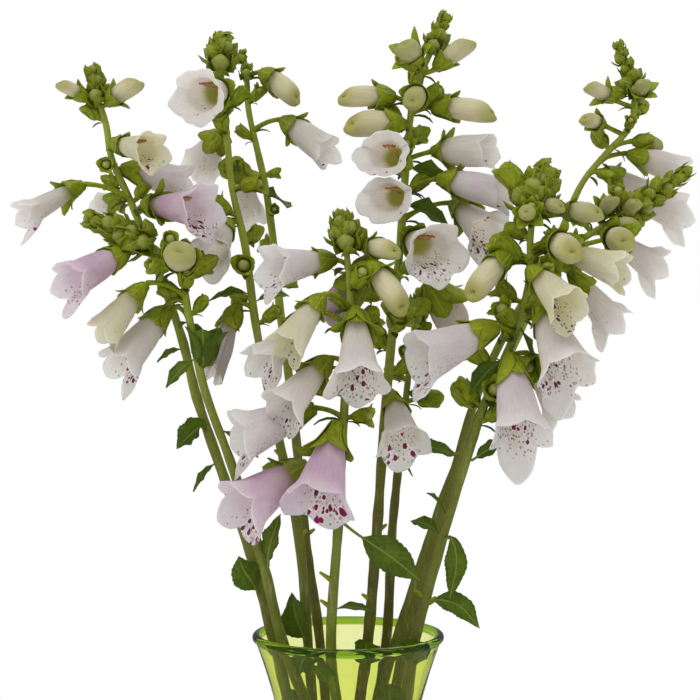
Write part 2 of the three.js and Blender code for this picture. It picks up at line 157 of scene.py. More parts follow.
class Draft:
    """A mesh in the making, with named values at each point and a finish for each face."""

    def __init__(self) -> None:
        """Start with no points and no faces."""
        self.points: list[np.ndarray] = []
        self.faces: list[tuple[int, ...]] = []
        self.finishes: list[int] = []
        self.values: list[dict[str, np.ndarray]] = []
        self.count = 0

    def add(self, points: np.ndarray, faces: Iterable[Sequence[int]], finish: int = 0,
            **values: Values) -> None:
        """Add points and the faces between them.

        Args:
            points: The points, one a row.
            faces: Each face's corners, counted within these points.
            finish: Which of the piece's materials the faces take.
            **values: Numbers or vectors to store at each of the points, or one number for them all.
        """
        faces = [tuple(corner + self.count for corner in face) for face in faces]
        self.points.append(points)
        self.faces.extend(faces)
        self.finishes.extend([finish] * len(faces))
        self.values.append({name: np.full(len(points), value, np.float32) if np.ndim(value) == 0
                            else np.asarray(value, np.float32) for name, value in values.items()})
        self.count += len(points)

    def tube(self, line: np.ndarray, radii: Values, sides: int, finish: int = 0, **values: Values) -> None:
        """Add a round rod with closed ends.

        Args:
            line: The points of its middle.
            radii: The radius at each of them, or one for them all.
            sides: How many sides it has.
            finish: Which of the piece's materials it takes.
            **values: Numbers to store, one for each point of the middle or one for them all.
        """
        tangents = np.gradient(line, axis=0)
        angles = turns(sides)
        rings = []
        side = Axes.along(tangents[0], AWAY if abs(unit(tangents[0])[2]) > 0.9 else UP).side
        for centre, tangent, radius in zip(line, tangents, np.broadcast_to(radii, len(line))):
            axis = unit(tangent)
            side = square(side, axis)
            top = np.cross(axis, side)
            rings.append(centre + radius * (np.outer(np.cos(angles), side) + np.outer(np.sin(angles), top)))
        self.loft(np.array(rings), finish, **values)

    def loft(self, rings: np.ndarray, finish: int = 0, **values: Values) -> None:
        """Add a closed skin over rings that run counter-clockwise about the way they follow.

        Args:
            rings: Points by ring and then around the ring.
            finish: Which of the piece's materials it takes.
            **values: Numbers to store, one for each ring or one for them all.
        """
        count, sides = rings.shape[:2]
        ends = np.array((rings[0].mean(axis=0), rings[-1].mean(axis=0)))
        points = np.vstack((rings.reshape(-1, 3), ends))
        faces = grid_faces(count, sides)
        first, last = count * sides, count * sides + 1
        for index in range(sides):
            after = (index + 1) % sides
            faces.append((first, after, index))
            faces.append((last, last - 1 - sides + index, last - 1 - sides + after))
        for name, value in values.items():
            if np.ndim(value):
                values[name] = np.concatenate((np.repeat(value, sides, axis=0), value[:1], value[-1:]))
        self.add(points, faces, finish, **values)

    def build(self, name: str, materials: Sequence[bpy.types.Material]) -> bpy.types.Object:
        """Make the object, smooth shaded.

        Args:
            name: The object's name.
            materials: Its materials, in the order of the finishes.

        Returns:
            The new object, at the origin.
        """
        mesh = bpy.data.meshes.new(name)
        mesh.from_pydata(np.vstack(self.points).tolist(), [], self.faces)
        for key in sorted({key for part in self.values for key in part}):
            self._store(mesh, key)
        for material in materials:
            mesh.materials.append(material)
        mesh.polygons.foreach_set("material_index", np.array(self.finishes, np.int32))
        mesh.shade_smooth()
        mesh.update()
        return show(bpy.data.objects.new(name, mesh))

    def _store(self, mesh: bpy.types.Mesh, key: str) -> None:
        """Write one named value to a mesh, with zero where a part has none."""
        known = next(part[key] for part in self.values if key in part)
        width = known.shape[1:]
        chunks = [part.get(key, np.zeros((len(points), *width), np.float32))
                  for points, part in zip(self.points, self.values)]
        kind, slot = ("FLOAT_VECTOR", "vector") if width else ("FLOAT", "value")
        attribute = mesh.attributes.new(key, kind, "POINT")
        attribute.data.foreach_set(slot, np.concatenate(chunks).astype(np.float32).ravel())


def grid_faces(rows: int, columns: int, closed: bool = True) -> list[tuple[int, ...]]:
    """List the four-sided faces of a grid.

    Args:
        rows: How many rows of points it has.
        columns: How many points a row has.
        closed: Whether each row runs all the way round.

    Returns:
        Each face's corners.
    """
    faces = []
    for row in range(rows - 1):
        for column in range(columns if closed else columns - 1):
            after = (column + 1) % columns
            low, high = row * columns, (row + 1) * columns
            faces.append((low + column, low + after, high + after, high + column))
    return faces


def sheet_faces(rows: int, columns: int) -> list[tuple[int, ...]]:
    """List the faces of two open grids joined all round their edge, the second one underneath."""
    under = rows * columns
    top = grid_faces(rows, columns, closed=False)
    faces = top + [tuple(corner + under for corner in face[::-1]) for face in top]
    grid = np.arange(under).reshape(rows, columns)
    edge = np.concatenate((grid[0], grid[1:, -1], grid[-1, -2::-1], grid[-2:0:-1, 0])).tolist()
    for start, end in zip(edge, edge[1:] + edge[:1]):
        faces.append((end, start, start + under, end + under))
    return faces


def show(piece: bpy.types.Object) -> bpy.types.Object:
    """Put an object in the scene."""
    bpy.context.scene.collection.objects.link(piece)
    return piece


# Node trees

class Graph:
    """Adds nodes to a tree, with each input set or linked as it is made."""

    def __init__(self, tree: bpy.types.NodeTree) -> None:
        """Work on a tree."""
        self.tree = tree

    def feed(self, node: bpy.types.Node, inputs: Inputs) -> None:
        """Link each output to its input, or set the input to a plain value."""
        for key, value in inputs.items():
            if isinstance(value, bpy.types.NodeSocket):
                self.tree.links.new(value, node.inputs[key])
            else:
                node.inputs[key].default_value = value

    def node(self, kind: str, inputs: Inputs | None = None, **settings: Any) -> bpy.types.Node:
        """Add a node.

        Args:
            kind: The node's type.
            inputs: A value or an output to link, by the input's name or number.
            **settings: The node's own settings.

        Returns:
            The new node.
        """
        node = self.tree.nodes.new(kind)
        for name, value in settings.items():
            setattr(node, name, value)
        self.feed(node, inputs or {})
        return node

    def out(self, kind: str, inputs: Inputs | None = None, output: int | str = 0, **settings: Any) -> Any:
        """Add a node and give one of its outputs."""
        return self.node(kind, inputs, **settings).outputs[output]

    def math(self, operation: str, *terms: Any) -> Any:
        """Add a Math node."""
        return self.out("ShaderNodeMath", dict(enumerate(terms)), operation=operation)

    plus = partialmethod(math, "ADD")
    minus = partialmethod(math, "SUBTRACT")

    def times(self, first: Any, *others: Any) -> Any:
        """Multiply values, from the first on."""
        for other in others:
            first = self.math("MULTIPLY", first, other)
        return first

    def ramp(self, value: Any, low: float, high: float, start: float = 0.0, end: float = 1.0) -> Any:
        """Map a value smoothly from one range to another, held at both ends."""
        inputs = {"Value": value, "From Min": low, "From Max": high, "To Min": start, "To Max": end}
        return self.out("ShaderNodeMapRange", inputs, interpolation_type="SMOOTHSTEP")

    def mix(self, share: Any, first: Any, second: Any, blend: str = "MIX") -> Any:
        """Mix two colours, each an output, four numbers or a hexadecimal code."""
        first, second = (srgb(tone) if isinstance(tone, str) else tone for tone in (first, second))
        inputs = {0: share, 6: first, 7: second}
        return self.out("ShaderNodeMix", inputs, 2, data_type="RGBA", blend_type=blend)

    def noise(self, vector: Any, scale: Any, detail: float = 2.0, output: int | str = 0) -> Any:
        """Add a noise texture."""
        return self.out("ShaderNodeTexNoise", {"Vector": vector, "Scale": scale, "Detail": detail}, output)

    def vector(self, operation: str, inputs: Inputs) -> Any:
        """Add a Vector Math node."""
        return self.out("ShaderNodeVectorMath", inputs, operation=operation)

    def stretched(self, vector: Any, scale: Point) -> Any:
        """Scale a vector along each axis."""
        return self.out("ShaderNodeMapping", {"Vector": vector, "Scale": scale})

    def attribute(self, name: str, output: str = "Fac") -> Any:
        """Read a value stored at the points of a mesh."""
        return self.out("ShaderNodeAttribute", output=output, attribute_name=name)

    def place(self) -> Any:
        """Read the place on the piece."""
        return self.out("ShaderNodeTexCoord", output="Object")

    def height(self, place: Any) -> Any:
        """Take the height out of a place."""
        return self.out("ShaderNodeSeparateXYZ", {0: place}, 2)

    def bump(self, height: Any, strength: float, distance: float) -> Any:
        """Turn a height into a bumpy normal."""
        return self.out("ShaderNodeBump", {"Height": height, "Strength": strength, "Distance": distance})

    def group(self, tree: bpy.types.NodeTree, **inputs: Any) -> Any:
        """Place a node group and give its outputs."""
        return self.node("ShaderNodeGroup", inputs, node_tree=tree).outputs


class Group(Graph):
    """A node group in the making, with its named inputs ready to be linked."""

    def __init__(self, name: str, kind: str, **sockets: str) -> None:
        """Start the group.

        Args:
            name: Its name.
            kind: The tree's type.
            **sockets: The type of each named input, with _ for a space in the name.
        """
        super().__init__(bpy.data.node_groups.new(name, kind))
        self._open("INPUT", sockets)
        self.inlet = self.node("NodeGroupInput").outputs

    def _open(self, in_out: str, sockets: dict[str, str]) -> None:
        """Add sockets to the group."""
        for name, kind in sockets.items():
            self.tree.interface.new_socket(
                name=name.replace("_", " "), in_out=in_out, socket_type="NodeSocket" + kind)

    def end(self, sockets: dict[str, str], *results: Any) -> bpy.types.NodeTree:
        """Link each result to a new output.

        Args:
            sockets: The type of each named output.
            *results: What they put out, in the same order.

        Returns:
            The finished tree.
        """
        self._open("OUTPUT", sockets)
        self.node("NodeGroupOutput", dict(zip(sockets, results)))
        return self.tree


class ShaderKit:
    """The effects that more than one material uses, each a node group built once."""

    def __init__(self) -> None:
        """Build the groups."""
        self.spots, self.streaks, self.mottle = self._spots(), self._streaks(), self._mottle()

    @staticmethod
    def _spots() -> bpy.types.NodeTree:
        """Scatter irregular spots, each with a paler ring, where a region allows them."""
        graph = Group("petal_spots", "ShaderNodeTree",
                      Map="Vector", Cells="Float", Size="Float", Region="Float")
        inlet = graph.inlet
        wander = graph.noise(inlet["Map"], 420.0, 1.0, "Color")
        shift = graph.vector("SCALE", {0: wander, "Scale": 0.0013})
        bent = graph.vector("ADD", {0: inlet["Map"], 1: shift})
        long = graph.stretched(bent, (1.1, 0.95, 1.0))
        cells = graph.node("ShaderNodeTexVoronoi", {"Vector": long, "Scale": inlet["Cells"]}).outputs
        chance = graph.node("ShaderNodeSeparateColor", {0: cells["Color"]}).outputs
        kept = graph.math("GREATER_THAN", inlet["Region"], chance[1])
        radius = graph.times(graph.plus(graph.times(chance[0], 0.55), 0.6), inlet["Size"], kept)
        near = graph.minus(radius, cells["Distance"])
        ring = graph.times(graph.ramp(near, -0.22, -0.02), kept)
        return graph.end({"Spot": "Float", "Ring": "Float"}, graph.ramp(near, -0.015, 0.045), ring)

    @staticmethod
    def _streaks() -> bpy.types.NodeTree:
        """Draw fine lengthwise streaks and broad soft clouds."""
        graph = Group("lengthwise_streaks", "ShaderNodeTree", Vector="Vector", Fineness="Float")
        place = graph.inlet["Vector"]
        streak = graph.noise(graph.stretched(place, (1.0, 1.0, 0.07)), graph.inlet["Fineness"], 3.0)
        return graph.end({"Streak": "Float", "Cloud": "Float"}, streak, graph.noise(place, 60.0))

    @staticmethod
    def _mottle() -> bpy.types.NodeTree:
        """Vary a colour in fine and coarse patches, and give a height for a bump."""
        graph = Group("living_mottle", "ShaderNodeTree",
                      Color="Color", Vector="Vector", Fine="Float", Amount="Float")
        colour, place = graph.inlet["Color"], graph.inlet["Vector"]
        both = graph.times(graph.plus(graph.noise(place, graph.inlet["Fine"]), graph.noise(place, 90.0)), 0.5)
        dark, pale = (graph.out("ShaderNodeHueSaturation", {"Value": light, "Color": colour})
                      for light in (0.55, 1.4))
        varied = graph.mix(graph.ramp(both, 0.3, 0.7), dark, pale)
        mottled = graph.mix(graph.inlet["Amount"], colour, varied)
        return graph.end({"Color": "Color", "Height": "Float"}, mottled, both)


def srgb(code: str) -> Colour:
    """Turn a colour written as six hexadecimal digits into linear light."""
    shares = [int(code[index:index + 2], 16) / 255 for index in (0, 2, 4)]
    return (*[((share + 0.055) / 1.055) ** 2.4 if share > 0.04 else share / 12.92 for share in shares], 1.0)


def new_material(name: str) -> tuple[bpy.types.Material, Graph, bpy.types.Node]:
    """Make a material and give it with its graph and its surface shader."""
    material = bpy.data.materials.new(name)
    material.use_nodes = True
    return material, Graph(material.node_tree), material.node_tree.nodes["Principled BSDF"]


def scattering(weight: float, radius: Point, scale: float) -> Inputs:
    """Give the inputs that let light wander under a surface."""
    return {"Subsurface Weight": weight, "Subsurface Radius": radius, "Subsurface Scale": scale}


# Finishes

@dataclass(frozen=True)
class PetalFinish:
    """The colours of a corolla, as hexadecimal codes, how its surface takes light, and a painted glow inside
    it.
    """

    name: str
    outside: str
    cloud: str
    foot: str
    inside: str
    edge: str
    throat: str = "aaa64e"
    spot: str = "3c021f"
    small_spot: str = "1c040e"
    ring: str = "f4e9ee"
    speck: str = "50453a"
    spot_size: float = 0.40
    spot_cells: float = 270.0
    speck_size: float = 0.36
    speck_cells: float = 520.0
    streak: float = 0.12
    crease: float = 0.12
    # glow is painted light: how strongly the inner wall glows in its own colour
    glow: float = 0.2

    def material(self, kit: ShaderKit) -> bpy.types.Material:
        """Build the material from the shared groups."""
        material, graph, surface = new_material(self.name)
        along, inner, low = (graph.attribute(name) for name in ("along", "inner", "low"))
        lines = graph.group(kit.streaks, Vector=graph.attribute("local", "Vector"), Fineness=900.0)
        outside = graph.mix(graph.ramp(lines["Cloud"], 0.35, 0.7), self.outside, self.cloud)
        outside = graph.mix(graph.ramp(along, 0.0, 0.42, 1.0, 0.0), outside, self.foot)
        outside = graph.mix(graph.ramp(along, 0.72, 1.1), outside, self.edge)
        inside = graph.mix(graph.ramp(along, 0.18, 0.5, 1.0, 0.0), self.inside, self.throat)
        tone = graph.ramp(lines["Streak"], 0.3, 0.7, 1.0 - self.streak * 0.5, 1.0 + self.streak * 0.25)
        grey = graph.out("ShaderNodeCombineColor", {0: tone, 1: tone, 2: tone})
        colour = graph.mix(1.0, graph.mix(inner, outside, inside), grey, "MULTIPLY")
        colour = self._spotted(kit, graph, colour, along, inner, low)
        # Painted light: the inner wall glows in its own colour, most towards the foot of the tube, to lift
        # the shade inside the bell
        depth = graph.times(inner, graph.ramp(along, 0.1, 0.85, 1.0, 0.0))
        height = graph.plus(lines["Streak"], graph.times(lines["Cloud"], 2.0))
        graph.feed(surface, {
            "Base Color": colour, "Roughness": 0.6, "Specular IOR Level": 0.25,
            "Emission Color": graph.mix(depth, (0.0, 0.0, 0.0, 1.0), colour), "Emission Strength": self.glow,
            "Normal": graph.bump(height, self.crease, 0.0006), **scattering(0.8, (1.0, 0.9, 0.85), 0.005),
        })
        return material

    def _spotted(self, kit: ShaderKit, graph: Graph, colour: Any, along: Any, inner: Any, low: Any) -> Any:
        """Add the lower lip's spots, and the specks that show through the tube beneath them."""
        place, amount = graph.attribute("map", "Vector"), graph.attribute("spots")
        band = graph.times(graph.ramp(along, 0.50, 0.63), graph.ramp(along, 0.90, 1.05, 1.0, 0.0))
        region = graph.times(graph.ramp(low, 0.80, 0.95), band, amount)
        bold = graph.group(kit.spots, Map=place, Cells=self.spot_cells, Size=self.spot_size, Region=region)
        deep = graph.times(graph.ramp(along, 0.35, 0.55), graph.ramp(along, 0.95, 1.05, 1.0, 0.0))
        deep = graph.times(graph.ramp(low, 0.6, 0.85), deep, amount)
        faint = graph.group(kit.spots, Map=place, Cells=self.speck_cells, Size=self.speck_size, Region=deep)
        colour = graph.mix(graph.times(bold["Ring"], inner, 0.8), colour, self.ring)
        veil = graph.times(faint["Spot"], graph.ramp(inner, 0.0, 1.0, 0.35, 0.8))
        colour = graph.mix(veil, colour, self.speck)
        red = graph.mix(graph.ramp(low, 0.8, 0.95), self.small_spot, self.spot)
        return graph.mix(graph.times(bold["Spot"], graph.ramp(inner, 0.0, 1.0, 0.18, 1.0)), colour, red)


class Tint(Enum):
    """The colourings of the corollas, open and closed."""

    WHITE = PetalFinish("petal_white", "d6cabe", "cfc3c0", "c8c198", "d8cec4", "e0d8d0")
    CREAM = PetalFinish("petal_cream", "cfc69e", "d4cbb2", "b8b472", "cfc896", "d2cb9c", spot="480a24")
    BLUSH = PetalFinish("petal_blush", "d2bec5", "d6cac8", "c8c29c", "dad0cc", "dcd0ce")
    LILAC = PetalFinish("petal_lilac", "be9bb3", "cab0be", "beb096", "d3bccb", "ccaec0", spot_size=0.47)
    DRIED = PetalFinish("petal_dried", "c2b6b4", "ccc2bc", "b5a992", "b8aca4", "8d7a5c", crease=0.9)


@dataclass(frozen=True)
class BudFinish:
    """The colours of closed corollas, from their foot to their greenish tip, with painted shade in the
    opening of the folded end.
    """

    foot: str = "bdb785"
    middle: str = "d3caa6"
    tip: str = "a9a65c"
    green: str = "939752"
    blush: str = "cfb2c8"
    streak: str = "a8a070"
    painted_opening_shade: str = "6f6c2c"

    def material(self, kit: ShaderKit) -> bpy.types.Material:
        """Build the material from the shared groups."""
        material, graph, surface = new_material("closed_bud")
        along = graph.attribute("along")
        lines = graph.group(kit.streaks, Vector=graph.attribute("local", "Vector"), Fineness=800.0)
        colour = graph.mix(graph.ramp(along, 0.0, 0.5), self.foot, self.middle)
        reach = graph.plus(along, graph.times(lines["Cloud"], 0.35))
        for share, tone in (
            (graph.ramp(reach, 0.75, 1.15), self.tip), (graph.attribute("green"), self.green),
            (graph.attribute("blush"), self.blush),
            (graph.ramp(lines["Streak"], 0.45, 0.75, 0.0, 0.3), self.streak),
            # painted shade: a dark ring in the opening at the folded end
            (graph.ramp(along, 0.966, 0.980), self.painted_opening_shade),
        ):
            colour = graph.mix(share, colour, tone)
        graph.feed(surface, {
            "Base Color": colour, "Normal": graph.bump(lines["Streak"], 0.25, 0.0006), "Roughness": 0.55,
            "Specular IOR Level": 0.3, **scattering(0.3, (1.0, 1.0, 0.5), 0.003),
        })
        return material


@dataclass(frozen=True)
class GreenFinish:
    """The colours of leaves, calyces or young buds, with a paler midrib and painted shade towards the edges.
    """

    name: str
    face: str
    painted_edge_shade: str
    rib: str
    ribs: float
    pale: str = "a4a862"

    def material(self, kit: ShaderKit) -> bpy.types.Material:
        """Build the material, whose veins follow the blade."""
        material, graph, surface = new_material(self.name)
        along, side = graph.attribute("along"), graph.math("ABSOLUTE", graph.attribute("across"))
        slant = graph.minus(along, graph.times(side, 0.22))
        wave = graph.math("ABSOLUTE", graph.math("SINE", graph.times(slant, self.ribs * math.pi)))
        vein = graph.times(graph.ramp(wave, 0.0, 0.22, 1.0, 0.0), graph.ramp(side, 0.05, 0.2), 0.3)
        lines = graph.math("MAXIMUM", vein, graph.ramp(side, 0.03, 0.12, 1.0, 0.0))
        patches = graph.group(kit.mottle, Color=srgb(self.face), Vector=graph.place(), Fine=500.0, Amount=0.7)
        # Painted shade: the colour darkens towards the blade's edges
        colour = graph.mix(graph.ramp(side, 0.35, 1.0, 0.0, 0.5), patches["Color"], self.painted_edge_shade)
        colour = graph.mix(graph.times(lines, graph.attribute("blade")), colour, self.rib)
        height = graph.minus(patches["Height"], graph.times(lines, 0.8))
        graph.feed(surface, {
            "Base Color": graph.mix(graph.attribute("pale"), colour, self.pale), "Roughness": 0.55,
            "Normal": graph.bump(height, 0.5, 0.0007), "Specular IOR Level": 0.2,
            **scattering(0.12, (0.5, 1.0, 0.2), 0.002),
        })
        return material


@dataclass(frozen=True)
class StemFinish:
    """The colours of a stem, fresh at the top and brown lower down, with pale lengthwise streaks painted as
    highlights.
    """

    top: str = "96a236"
    middle: str = "7c8630"
    bottom: str = "505c14"
    brown: str = "584720"
    # pale is the colour of the painted highlight streaks
    pale: str = "a8a67a"

    def material(self, kit: ShaderKit) -> bpy.types.Material:
        """Build the material, which reads height and how brown each stem is."""
        material, graph, surface = new_material("ribbed_stem")
        place = graph.place()
        height = graph.height(place)
        lines = graph.group(kit.streaks, Vector=place, Fineness=700.0)
        fresh = graph.mix(graph.ramp(height, 0.22, 0.34), self.middle, self.top)
        fresh = graph.mix(graph.ramp(height, 0.05, 0.2, 1.0, 0.0), fresh, self.bottom)
        aged = graph.times(graph.ramp(height, 0.2, 0.36, 1.0, 0.0), graph.attribute("brown"),
                           graph.ramp(lines["Cloud"], 0.2, 0.6, 0.4, 1.0))
        colour = graph.mix(aged, fresh, self.brown)
        # Painted highlight: pale lengthwise streaks
        colour = graph.mix(graph.ramp(lines["Streak"], 0.56, 0.78, 0.0, 0.7), colour, self.pale)
        mottled = graph.group(kit.mottle, Color=colour, Vector=place, Fine=900.0, Amount=0.45)
        relief = graph.plus(lines["Streak"], graph.times(mottled["Height"], 0.5))
        graph.feed(surface, {
            "Base Color": mottled["Color"], "Normal": graph.bump(relief, 0.5, 0.0006), "Roughness": 0.5,
            "Specular IOR Level": 0.25,
        })
        return material


@dataclass(frozen=True)
class AntherFinish:
    """Speckled orange-brown anthers on pale filaments."""

    pale: str = "d9c08a"
    dark: str = "b8703a"

    def material(self, kit: ShaderKit) -> bpy.types.Material:
        """Build the material from the shared mottle."""
        material, graph, surface = new_material("anther")
        colour = graph.mix(graph.attribute("along"), self.pale, self.dark)
        mottled = graph.group(kit.mottle, Color=colour, Vector=graph.place(), Fine=1600.0, Amount=0.8)
        graph.feed(surface, {"Base Color": mottled["Color"], "Roughness": 0.6})
        return material


@dataclass(frozen=True)
class GlassFinish:
    """Clear yellow-green glass, coloured through its thickness."""

    tint: Colour = (0.83, 0.875, 0.10, 1.0)
    clear: Colour = (0.96, 0.98, 0.8, 1.0)
    rim: Colour = (0.32, 0.50, 0.08, 1.0)
    density: float = 310.0
    rim_height: float = 0.1452
    rim_fade: float = 0.0006

    def material(self, kit: ShaderKit) -> bpy.types.Material:
        """Build the material, with the faint waves of blown glass in its surface."""
        material, graph, surface = new_material("vase_glass")
        place = graph.place()
        waves = graph.group(kit.mottle, Color=self.tint, Vector=graph.stretched(place, (0.5, 0.5, 0.12)),
                            Fine=60.0, Amount=0.0)
        rim = graph.ramp(graph.height(place), self.rim_height, self.rim_height + self.rim_fade)
        graph.feed(surface, {
            "Base Color": graph.mix(rim, self.clear, self.rim), "Roughness": 0.0, "IOR": 1.48,
            "Normal": graph.bump(waves["Height"], 0.35, 0.002), "Transmission Weight": 1.0,
        })
        volume = graph.out("ShaderNodeVolumeAbsorption", {"Color": self.tint, "Density": self.density})
        graph.feed(material.node_tree.nodes["Material Output"], {"Volume": volume})
        return material


class Palette:
    """Every material of the object, built once."""

    def __init__(self) -> None:
        """Build the materials from one kit of shared groups."""
        kit = ShaderKit()
        self.leaf = GreenFinish("leaf", "566a14", "3a5010", "7c8c3c", 11.0).material(kit)
        self.calyx = GreenFinish("calyx", "8e991a", "6e7e10", "a8b04c", 4.0).material(kit)
        self.young = GreenFinish("young_bud", "848e1e", "667212", "a2aa4c", 5.0).material(kit)
        self.stem = StemFinish().material(kit)
        self.bud = BudFinish().material(kit)
        self.anther = AntherFinish().material(kit)
        self.glass = GlassFinish().material(kit)
        self.petals = {tint: tint.value.material(kit) for tint in Tint}


# The plan

@dataclass(frozen=True)
class Bell:
    """An open corolla: where it starts, which way it faces, its length to the mouth and its width there.

    The other fields are shares: of the bell's length for lip, top and style, of half the mouth's width
    for flare, and between a cone at 0 and a tube at 1 for swell. A point of 1 makes the lobes sharp,
    blunt rounds the sepals' tips, broad widens the mouth, and lobes scales the four lobes beside the lip.
    """

    tint: Tint
    calyx: Point
    bearing: float
    dip: float
    length: float
    width: float
    spots: float = 1.0
    lip: float = 0.16
    lip_width: float = 46.0
    point: float = 0.35
    flare: float = 0.16
    swell: float = 0.2
    top: float = 0.96
    style: float = 0.0
    crumple: float = 0.0
    blunt: float = 0.5
    broad: float = 1.0
    lobes: float = 1.0


@dataclass(frozen=True)
class Bud:
    """A closed corolla: where its calyx stands, which way it faces and how large it is."""

    calyx: Point
    bearing: float
    dip: float
    length: float
    width: float
    green: float = 0.0
    blush: float = 0.0
    flat: float = 0.6


@dataclass(frozen=True)
class Spike:
    """A cut stem: where it stands in the vase, its route to the tip, and its flowers.

    Each of its greens is a run of small empty calyces: from one height to another, how many and how large.
    A stub has its height, bearing and reach, a sprig its height, bearing, dip, length and width, and a
    shoot its place, bearing, dip and size.
    """

    name: str
    foot: tuple[float, float]
    route: tuple[Point, ...]
    florets: tuple[Bell | Bud, ...]
    brown: float = 0.3
    tip_length: float = 0.03
    tip_buds: int = 16
    tip_size: float = 1.0
    greens: tuple[tuple[float, float, int, float], ...] = ()
    stubs: tuple[Point, ...] = ()
    sprigs: tuple[tuple[float, float, float, float, float], ...] = ()
    shoots: tuple[tuple[Point, float, float, float], ...] = ()
    tip_reach: float = 0.001


@dataclass(frozen=True)
class Leaf:
    """A large leaf: its spike, the height it leaves the stem at, the points of its midrib and its width."""

    name: str
    spike: str
    height: float
    rib: tuple[Point, ...]
    width: float
    roll: float
    bare: float = 0.1


